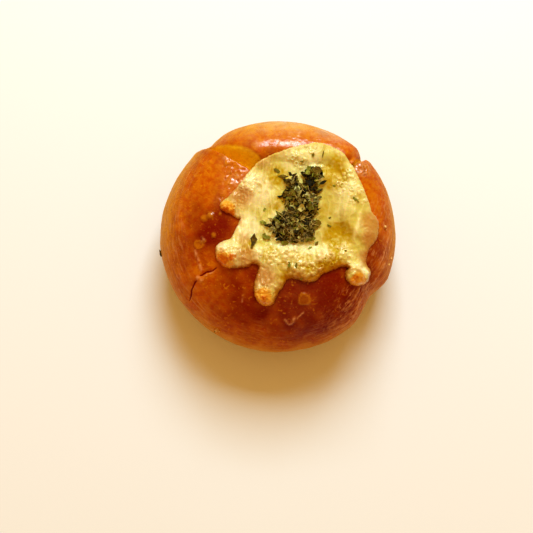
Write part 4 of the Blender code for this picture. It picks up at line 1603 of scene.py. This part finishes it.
def crust_material(colours):
    material, tree, shader = new_material("glazed crust")
    places = object_places(tree)
    height = times(tree, add_node(tree, "SeparateXYZ", in0=places).outputs["Z"], 1 / MM)
    broad = mottling(tree, places, 9.0, 0.2)
    middling = mottling(tree, stretched(tree, places, 1.0, 1.0, 0.5), 2.2, 0.2, 4.0)
    fine = mottling(tree, places, 0.9, 0.22, 4.0)
    round_it = around_places(tree, places)
    streaks = mottling(tree, round_it, 1.5, 0.1, 3.0, 0.56)
    dark_streaks = mottling(tree, round_it, 1.9, 0.12, 3.0, 0.42)
    broken = mottling(tree, places, 3.5, 0.2)
    tone = ramp_value(tree, height, 8.0, 50.0)
    tone = plus(tree, tone, times(tree, maths(tree, "SUBTRACT", broad, 0.5), 0.4))
    side = mixed(tree, ramp_value(tree, tone, 0.25, 0.8), colours.low, colours.side)
    skin = mixed(tree, ramp_value(tree, tone, 0.65, 1.0), side, colours.top)
    # Paler skin: partly less baked, partly painted light on the lit sides and the back.
    skin = laid_over(tree, skin, mask_of(tree, "paler_and_lit"), 0.75, colours.paler_and_lit)
    skin = laid_over(tree, skin, middling, 0.33, colours.gold)
    # Partly painted shade: the darkest glaze on the sides that face away from the light.
    skin = laid_over(tree, skin, mask_of(tree, "darkest_and_shaded"), 0.94, colours.dark)
    skin = laid_over(tree, skin, fine, 0.03, colours.gold)
    uneven_height = plus(tree, height, times(tree, broad, 6.0))
    base = ramp_value(tree, uneven_height, 36.0, 12.0)
    skin = laid_over(tree, skin, base, 0.85, colours.base)
    low_down = times(tree, ramp_value(tree, height, 49.0, 38.0), mask_of(tree, "streaky"))
    above_side = ramp_value(tree, height, 16.0, 31.0)
    low_down = times(tree, low_down, above_side)
    broken = ramp_value(tree, broken, 0.0, 1.0, 0.3, 1.0)
    streaked = times(tree, times(tree, streaks, broken), low_down)
    skin = laid_over(tree, skin, streaked, 0.6, colours.dry)
    dark_streaks = maths(tree, "SUBTRACT", 1.0, dark_streaks)
    deeper = times(tree, dark_streaks, low_down)
    skin = laid_over(tree, skin, deeper, 0.22, colours.dark)
    spots = times(tree, mottling(tree, places, 1.3, 0.03, 1.0, 0.655), broad)
    skin = laid_over(tree, skin, spots, 0.36, colours.gold)
    skin = laid_over(tree, skin, mask_of(tree, "blistered"), 0.55, colours.gold)
    # The dry colour of creases and frayed places; on the ridge corner it is a painted highlight.
    skin = laid_over(tree, skin, mask_of(tree, "creased"), 0.75, colours.dry)
    slanted = add_node(
        tree, "VectorRotate", {"rotation_type": "Z_AXIS"}, Vector=places, Angle=-SCRATCH_SLANT
    ).outputs[0]
    scratches = mottling(tree, stretched(tree, slanted, 0.2, 1.0, 0.7), 0.9, 0.06, 2.0, 0.55)
    scratched = times(tree, mask_of(tree, "scratched"), above_side)
    scratches = times(tree, scratches, times(tree, broken, scratched))
    skin = laid_over(tree, skin, scratches, 0.5, colours.dry)
    bread = mixed(tree, middling, colours.cut, colours.cut_gold)
    skin = mixed(tree, mask_of(tree, "cut_depth"), skin, bread)
    # Painted shade in the cracks.
    crack_shade = ramp_value(tree, mask_of(tree, "crack_shade"), 0.3, 0.8)
    skin = mixed(tree, crack_shade, skin, colours.dark)
    shine = ramp_value(tree, fine, 0.0, 1.0, 0.7, 1.2)
    set_inputs(
        tree,
        shader,
        Base_Color=skin,
        Roughness=plus(tree, times(tree, fine, 0.15), 0.4),
        Specular_IOR_Level=0.15,
        Specular_Tint=(1.0, 0.7, 0.4, 1.0),
        Coat_Weight=times(tree, mask_of(tree, "glossy"), shine),
        Coat_Roughness=0.27,
        Coat_IOR=2.0,
    )
    relief = plus(tree, pores(tree, places, 0.7, 0.33), times(tree, streaked, 0.2))
    feed_bump(tree, shader, relief)
    return material


def cheese_material(colours):
    material, tree, shader = new_material("melted cheese")
    places = object_places(tree)
    broad = mottling(tree, places, 4.0, 0.18)
    fine = mottling(tree, places, 1.1, 0.2, 4.0)
    raised = mask_of(tree, "raised")
    skin = mixed(tree, ramp_value(tree, raised, 0.3, 0.8), colours.pale, colours.cream)
    skin = laid_over(tree, skin, broad, 0.25, colours.cream)
    skin = laid_over(tree, skin, mask_of(tree, "whiter"), 0.85, colours.white)
    hollows = ramp_value(tree, raised, 0.75, 0.4)
    yellow = plus(tree, times(tree, fine, 0.25), times(tree, hollows, 0.6))
    yellow = times(tree, plus(tree, yellow, 0.55), mask_of(tree, "yellow"))
    skin = mixed(tree, maths(tree, "MINIMUM", yellow, 0.97), skin, colours.yellow)
    skin = laid_over(tree, skin, ramp_value(tree, raised, 0.7, 1.0), 0.32, colours.white)
    skin = laid_over(tree, skin, mask_of(tree, "rim"), 0.95, colours.golden)
    skin = laid_over(tree, skin, mask_of(tree, "thin"), 0.85, colours.thin)
    browned = ramp_value(tree, mask_of(tree, "browned"), 0.0, 0.8)
    skin = mixed(tree, browned, skin, colours.toasted)
    burnt = plus(tree, mask_of(tree, "burnt"), times(tree, fine, 0.3))
    burnt = ramp_value(tree, burnt, 0.3, 1.0)
    skin = mixed(tree, burnt, skin, colours.burnt)
    skin = laid_over(tree, skin, flecks(tree, places, 1.2, 0.32, 0.35), 0.15, colours.cream)
    skin = laid_over(tree, skin, flecks(tree, places, 3.2, 0.22, 0.4), 0.3, colours.toasted)
    set_inputs(
        tree,
        shader,
        Base_Color=skin,
        Roughness=plus(tree, times(tree, fine, 0.15), 0.24),
        Specular_IOR_Level=0.28,
        Specular_Tint=(1.0, 0.88, 0.45, 1.0),
        Coat_Weight=times(tree, ramp_value(tree, raised, 0.62, 0.95), 0.55),
        Coat_Roughness=0.16,
        Coat_IOR=1.6,
        Subsurface_Weight=0.5,
        Subsurface_Radius=(1.0, 0.6, 0.2),
        Subsurface_Scale=2.0 * MM,
    )
    grain = plus(tree, pores(tree, places, 0.5, 0.03), pores(tree, places, 1.3, 0.16))
    feed_bump(tree, shader, grain)
    return material


def graded(tree, factor, colours):
    """A colour picked by a factor along a ramp through the colours."""
    node = add_node(tree, "ValToRGB", Fac=factor)
    ramp = node.color_ramp
    while len(ramp.elements) < len(colours):
        ramp.elements.new(0.5)
    for index, (element, colour) in enumerate(zip(ramp.elements, colours)):
        element.position = index / (len(colours) - 1)
        element.color = colour
    return node.outputs["Color"]


def parsley_material(name, colours):
    material, tree, shader = new_material(name)
    places = object_places(tree)
    patchy = mottling(tree, places, 0.8, 0.2)
    shade = times(tree, mask_of(tree, "shade"), 0.75)
    set_inputs(
        tree,
        shader,
        Base_Color=graded(tree, plus(tree, times(tree, patchy, 0.3), shade), colours),
        Roughness=ramp_value(tree, patchy, 0.0, 1.0, 0.5, 0.75),
        Specular_IOR_Level=0.2,
    )
    feed_bump(tree, shader, pores(tree, places, 0.3, 0.2))
    return material


def crumb_material(colours):
    material, tree, shader = new_material("crumb")
    places = object_places(tree)
    baked = mottling(tree, places, 0.9, 0.15)
    skin = mixed(tree, baked, colours.pale_crumb, colours.brown_crumb)
    set_inputs(tree, shader, Base_Color=skin, Roughness=0.6)
    feed_bump(tree, shader, pores(tree, places, 0.4, 0.2))
    return material


def floor_material(colour):
    material, tree, shader = new_material("pale floor")
    places = object_places(tree)
    patchy = times(tree, mottling(tree, places, 60.0, 0.3), 0.03)
    shaded = mixed(tree, patchy, colour, (0.8, 0.79, 0.77, 1))
    set_inputs(tree, shader, Base_Color=shaded, Roughness=0.5)
    return material


# ---------------------------------------------------------------------------------------
# The add-on


def colour_property(name, description, default):
    return FloatVectorProperty(
        name=name,
        description=description,
        default=(*default, 1.0),
        size=4,
        min=0,
        max=1,
        subtype="COLOR",
    )


class BunCrustSettings(bpy.types.PropertyGroup):
    skin_size: FloatProperty(
        name="Skin size",
        description="Size of the small faces of the crust",
        default=0.6 * MM,
        min=0.3 * MM,
        unit="LENGTH",
    )
    top: colour_property("Top", "Glazed crust at the top", (0.53, 0.117, 0.0006))
    side: colour_property("Side", "Crust half way down", (0.46, 0.10, 0.001))
    low: colour_property("Low", "Crust near the base", (0.60, 0.24, 0.010))
    # The dark colour also paints shade: on the sides that face away from the light, and in the
    # cracks.
    dark: colour_property("Dark", "Dark patches of the glaze", (0.20, 0.004, 0.0002))
    gold: colour_property("Gold", "Golden flecks and blisters", (0.78, 0.40, 0.012))
    # Partly painted light: the paler colour of the lit sides and the back.
    paler_and_lit: colour_property("Paler", "Paler crust at the back and low down", (0.72, 0.42, 0.05))
    dry: colour_property("Dry", "Dry streaks of the flanks", (0.74, 0.40, 0.19))
    base: colour_property("Base", "Pale skin near the base", (0.60, 0.35, 0.10))
    cut: colour_property("Cut", "Baked bread inside the cuts", (0.82, 0.48, 0.010))
    cut_gold: colour_property("Cut gold", "Lighter bread inside the cuts", (0.88, 0.56, 0.025))


class BunCheeseSettings(bpy.types.PropertyGroup):
    skin_size: FloatProperty(
        name="Skin size",
        description="Distance between neighbouring points of the cheese",
        default=0.3 * MM,
        min=0.15 * MM,
        unit="LENGTH",
    )
    pale: colour_property("Pale", "Melted cheese", (0.62, 0.52, 0.11))
    cream: colour_property("Cream", "Whiter cheese", (0.76, 0.68, 0.30))
    yellow: colour_property("Yellow", "Oily yellow cheese", (0.52, 0.34, 0.001))
    white: colour_property("White", "Whitest folds and strands of the cheese", (0.90, 0.85, 0.52))
    golden: colour_property("Golden", "Golden rim at the front", (0.42, 0.18, 0.001))
    thin: colour_property("Thin", "Thin cheese with the crust showing through", (0.52, 0.24, 0.055))
    toasted: colour_property("Toasted", "Toasted tips", (0.74, 0.39, 0.05))
    burnt: colour_property("Burnt", "Darkest spots of the toasted tips", (0.56, 0.16, 0.005))


class BunParsleySettings(bpy.types.PropertyGroup):
    leaves: IntProperty(name="Leaves", description="Bits of leaf in the heap", default=380, min=1)
    pale_bits: IntProperty(name="Pale bits", description="Pale curled bits", default=110, min=0)
    stalks: IntProperty(name="Stalks", description="Thin bits of stalk", default=110, min=0)
    darkest_leaf: colour_property("Darkest leaf", "Nearly black leaves", (0.005, 0.005, 0.001))
    dark_leaf: colour_property("Dark leaf", "Dark olive leaves", (0.032, 0.026, 0.003))
    brown_leaf: colour_property("Brown leaf", "Olive brown leaves", (0.21, 0.125, 0.012))
    light_leaf: colour_property("Light leaf", "The few lightest leaves", (0.42, 0.42, 0.07))
    green_leaf: colour_property("Green leaf", "The lightest, green leaves", (0.20, 0.20, 0.02))
    dark_pale: colour_property("Dark pale bit", "Darker side of pale bits", (0.045, 0.032, 0.008))
    pale_bit: colour_property("Pale bit", "Pale curled bits", (0.60, 0.52, 0.17))
    dark_stalk: colour_property("Dark stalk", "Darker stalks", (0.10, 0.06, 0.015))
    stalk: colour_property("Stalk", "Lighter stalks", (0.74, 0.58, 0.22))


class BunCrumbsSettings(bpy.types.PropertyGroup):
    pale_crumb: colour_property("Pale crumb", "Light side of the crumbs", (0.82, 0.62, 0.28))
    brown_crumb: colour_property("Brown crumb", "Baked side of the crumbs", (0.60, 0.26, 0.04))


class BunStageSettings(bpy.types.PropertyGroup):
    floor: colour_property("Floor", "The plain pale floor", (0.80, 0.83, 0.84))
    key_power: FloatProperty(
        name="Key light", description="Power of the light from behind", default=16.8, unit="POWER"
    )
    key_size: FloatProperty(
        name="Key size", description="Width of the light from behind", default=0.72, unit="LENGTH"
    )
    key_elevation: FloatProperty(
        name="Key elevation",
        description="How high the light from behind stands",
        default=math.radians(50),
        subtype="ANGLE",
    )
    key_turn: FloatProperty(
        name="Key turn",
        description="How far the light stands to the right of straight behind",
        default=math.radians(9),
        subtype="ANGLE",
    )
    room: colour_property("Room", "The soft light from all sides", (1.0, 0.60, 0.21))
    room_strength: FloatProperty(
        name="Room strength", description="Strength of the soft light", default=0.55
    )


class MakeCrust(bpy.types.Operator):
    """Makes the glazed crust with its four cuts, on the form of the solid"""

    bl_idname = "bun.make_crust"
    bl_label = "Make crust"

    def execute(self, context):
        settings = context.scene.bun_crust
        piece = cut_crust(settings.skin_size)
        flatten_base(piece)
        soften_cut(piece)
        dress_crust(piece, Crust())
        piece.data.shade_smooth()
        piece.data.materials.append(crust_material(settings))
        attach(piece, "root")
        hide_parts("bun")
        return {"FINISHED"}


class MakeCheese(bpy.types.Operator):
    """Makes the melted cheese with its lobes, folds and bubbles"""

    bl_idname = "bun.make_cheese"
    bl_label = "Make cheese"

    def execute(self, context):
        settings = context.scene.bun_cheese
        piece = make_cheese(Crust(), settings.skin_size)
        piece.data.shade_smooth()
        piece.data.materials.append(cheese_material(settings))
        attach(piece, "root")
        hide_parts("cheese")
        return {"FINISHED"}


class MakeParsley(bpy.types.Operator):
    """Heaps dried parsley on the cheese: leaves, pale curled bits and stalks"""

    bl_idname = "bun.make_parsley"
    bl_label = "Make parsley"

    def finish_piece(self, piece, shades, material):
        shade_by_bit(piece, shades)
        piece.data.materials.append(material)
        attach(piece, "root")
        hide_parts("cheese")

    def execute(self, context):
        settings = context.scene.bun_parsley
        tree = surface_tree(bpy.data.objects["melted_cheese"])
        leaf_colours = (
            settings.darkest_leaf,
            settings.dark_leaf,
            settings.brown_leaf,
            settings.green_leaf,
            settings.light_leaf,
        )
        count = settings.leaves
        leaves = heap_of_leaves("parsley_leaves", tree, count, LEAF_SHARES, LEAVES, FLAKE_SEED)
        rng = random.Random(FLAKE_SEED)
        shades = [rng.random() ** 1.5 for _ in range(count)]
        self.finish_piece(leaves, shades, parsley_material("parsley leaf", leaf_colours))
        count = settings.pale_bits
        pale = heap_of_leaves(
            "parsley_pale_bits", tree, count, PALE_SHARES, PALE_BITS, FLAKE_SEED + 1
        )
        shades = [rng.random() ** 1.4 for _ in range(count)]
        colours = (settings.dark_pale, settings.pale_bit)
        self.finish_piece(pale, shades, parsley_material("pale parsley", colours))
        spots = (*LOOSE_FLAKES.values(), *TOP_FLAKES.values())
        loose = named_leaves(tree, spots)
        shades = [spot["shade"] for spot in spots]
        self.finish_piece(loose, shades, parsley_material("loose parsley", leaf_colours))
        count = settings.stalks
        stalks = heap_of_stalks(tree, count)
        shades = [rng.random() for _ in range(count)]
        colours = (settings.dark_stalk, settings.stalk)
        self.finish_piece(stalks, shades, parsley_material("parsley stalk", colours))
        return {"FINISHED"}


class MakeCrumbs(bpy.types.Operator):
    """Adds the crumbs and the bits of parsley that cling to the crust"""

    bl_idname = "bun.make_crumbs"
    bl_label = "Make crumbs"

    def execute(self, context):
        settings = context.scene.bun_crumbs
        crumbs = scattered_crumbs(surface_tree(bpy.data.objects["crust"]))
        crumbs.data.materials.append(crumb_material(settings))
        self.laid(crumbs)
        flakes = clinging_flakes()
        flakes.data.materials.append(bpy.data.materials["loose parsley"])
        self.laid(flakes)
        return {"FINISHED"}

    def laid(self, piece):
        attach(piece, "root")
        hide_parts("bun")
        return piece


class MakeStage(bpy.types.Operator):
    """Sets the pale floor, the lights and the camera"""

    bl_idname = "bun.make_stage"
    bl_label = "Make stage"

    def execute(self, context):
        settings = context.scene.bun_stage
        bm = bmesh.new()
        bmesh.ops.create_grid(bm, x_segments=2, y_segments=2, size=3)
        floor = piece_from("floor", bm)
        floor.data.materials.append(floor_material(settings.floor))
        self.light_the_room(context.scene, settings)
        self.add_key(settings)
        self.add_camera(context.scene)
        context.scene.view_settings.view_transform = "Standard"
        context.scene.view_settings.look = "High Contrast"
        return {"FINISHED"}

    def light_the_room(self, scene, settings):
        world = bpy.data.worlds.new("soft room")
        world.use_nodes = True
        background = world.node_tree.nodes["Background"]
        background.inputs["Color"].default_value = tuple(settings.room)
        background.inputs["Strength"].default_value = settings.room_strength
        scene.world = world

    def add_key(self, settings):
        lamp = bpy.data.lights.new("key", "AREA")
        lamp.size = settings.key_size
        lamp.energy = settings.key_power
        lamp.color = KEY_TINT
        key = bpy.data.objects.new("key", lamp)
        bpy.context.scene.collection.objects.link(key)
        away = direction(math.pi / 2 - settings.key_turn) * math.cos(settings.key_elevation)
        towards = Vector((*away, math.sin(settings.key_elevation)))
        key.location = towards * KEY_DISTANCE
        key.rotation_euler = towards.to_track_quat("Z", "Y").to_euler()

    def add_camera(self, scene):
        lens = bpy.data.cameras.new("camera")
        lens.lens = LENS
        lens.sensor_width = SENSOR
        camera = bpy.data.objects.new("camera", lens)
        scene.collection.objects.link(camera)
        back = Vector((0, -math.cos(VIEW_ELEVATION), math.sin(VIEW_ELEVATION)))
        camera.location = VIEW_TARGET + back * VIEW_DISTANCE
        camera.rotation_euler = (math.pi / 2 - VIEW_ELEVATION, 0, 0)
        scene.camera = camera


class BunPanel(bpy.types.Panel):
    """Lists the steps and settings of the bun"""

    bl_idname = "BUN_PT_steps"
    bl_label = "Garlic cheese bun"
    bl_space_type = "VIEW_3D"
    bl_region_type = "UI"
    bl_category = "Bun"

    def draw(self, context):
        for operator, name, kind in STEPS:
            box = self.layout.box()
            box.operator(operator.bl_idname)
            for setting in kind.__annotations__:
                box.prop(getattr(context.scene, name), setting)


STEPS = (
    (MakeStage, "bun_stage", BunStageSettings),
    (MakeCrust, "bun_crust", BunCrustSettings),
    (MakeCheese, "bun_cheese", BunCheeseSettings),
    (MakeParsley, "bun_parsley", BunParsleySettings),
    (MakeCrumbs, "bun_crumbs", BunCrumbsSettings),
)


def register():
    for operator, name, settings in STEPS:
        bpy.utils.register_class(settings)
        setattr(bpy.types.Scene, name, PointerProperty(type=settings))
        bpy.utils.register_class(operator)
    bpy.utils.register_class(BunPanel)


def unregister():
    bpy.utils.unregister_class(BunPanel)
    for operator, name, settings in reversed(STEPS):
        bpy.utils.unregister_class(operator)
        delattr(bpy.types.Scene, name)
        bpy.utils.unregister_class(settings)


def main():
    register()
    bpy.ops.bun.make_stage()
    bpy.ops.bun.make_crust()
    bpy.ops.bun.make_cheese()
    bpy.ops.bun.make_parsley()
    bpy.ops.bun.make_crumbs()


if __name__ == "__main__":
    main()
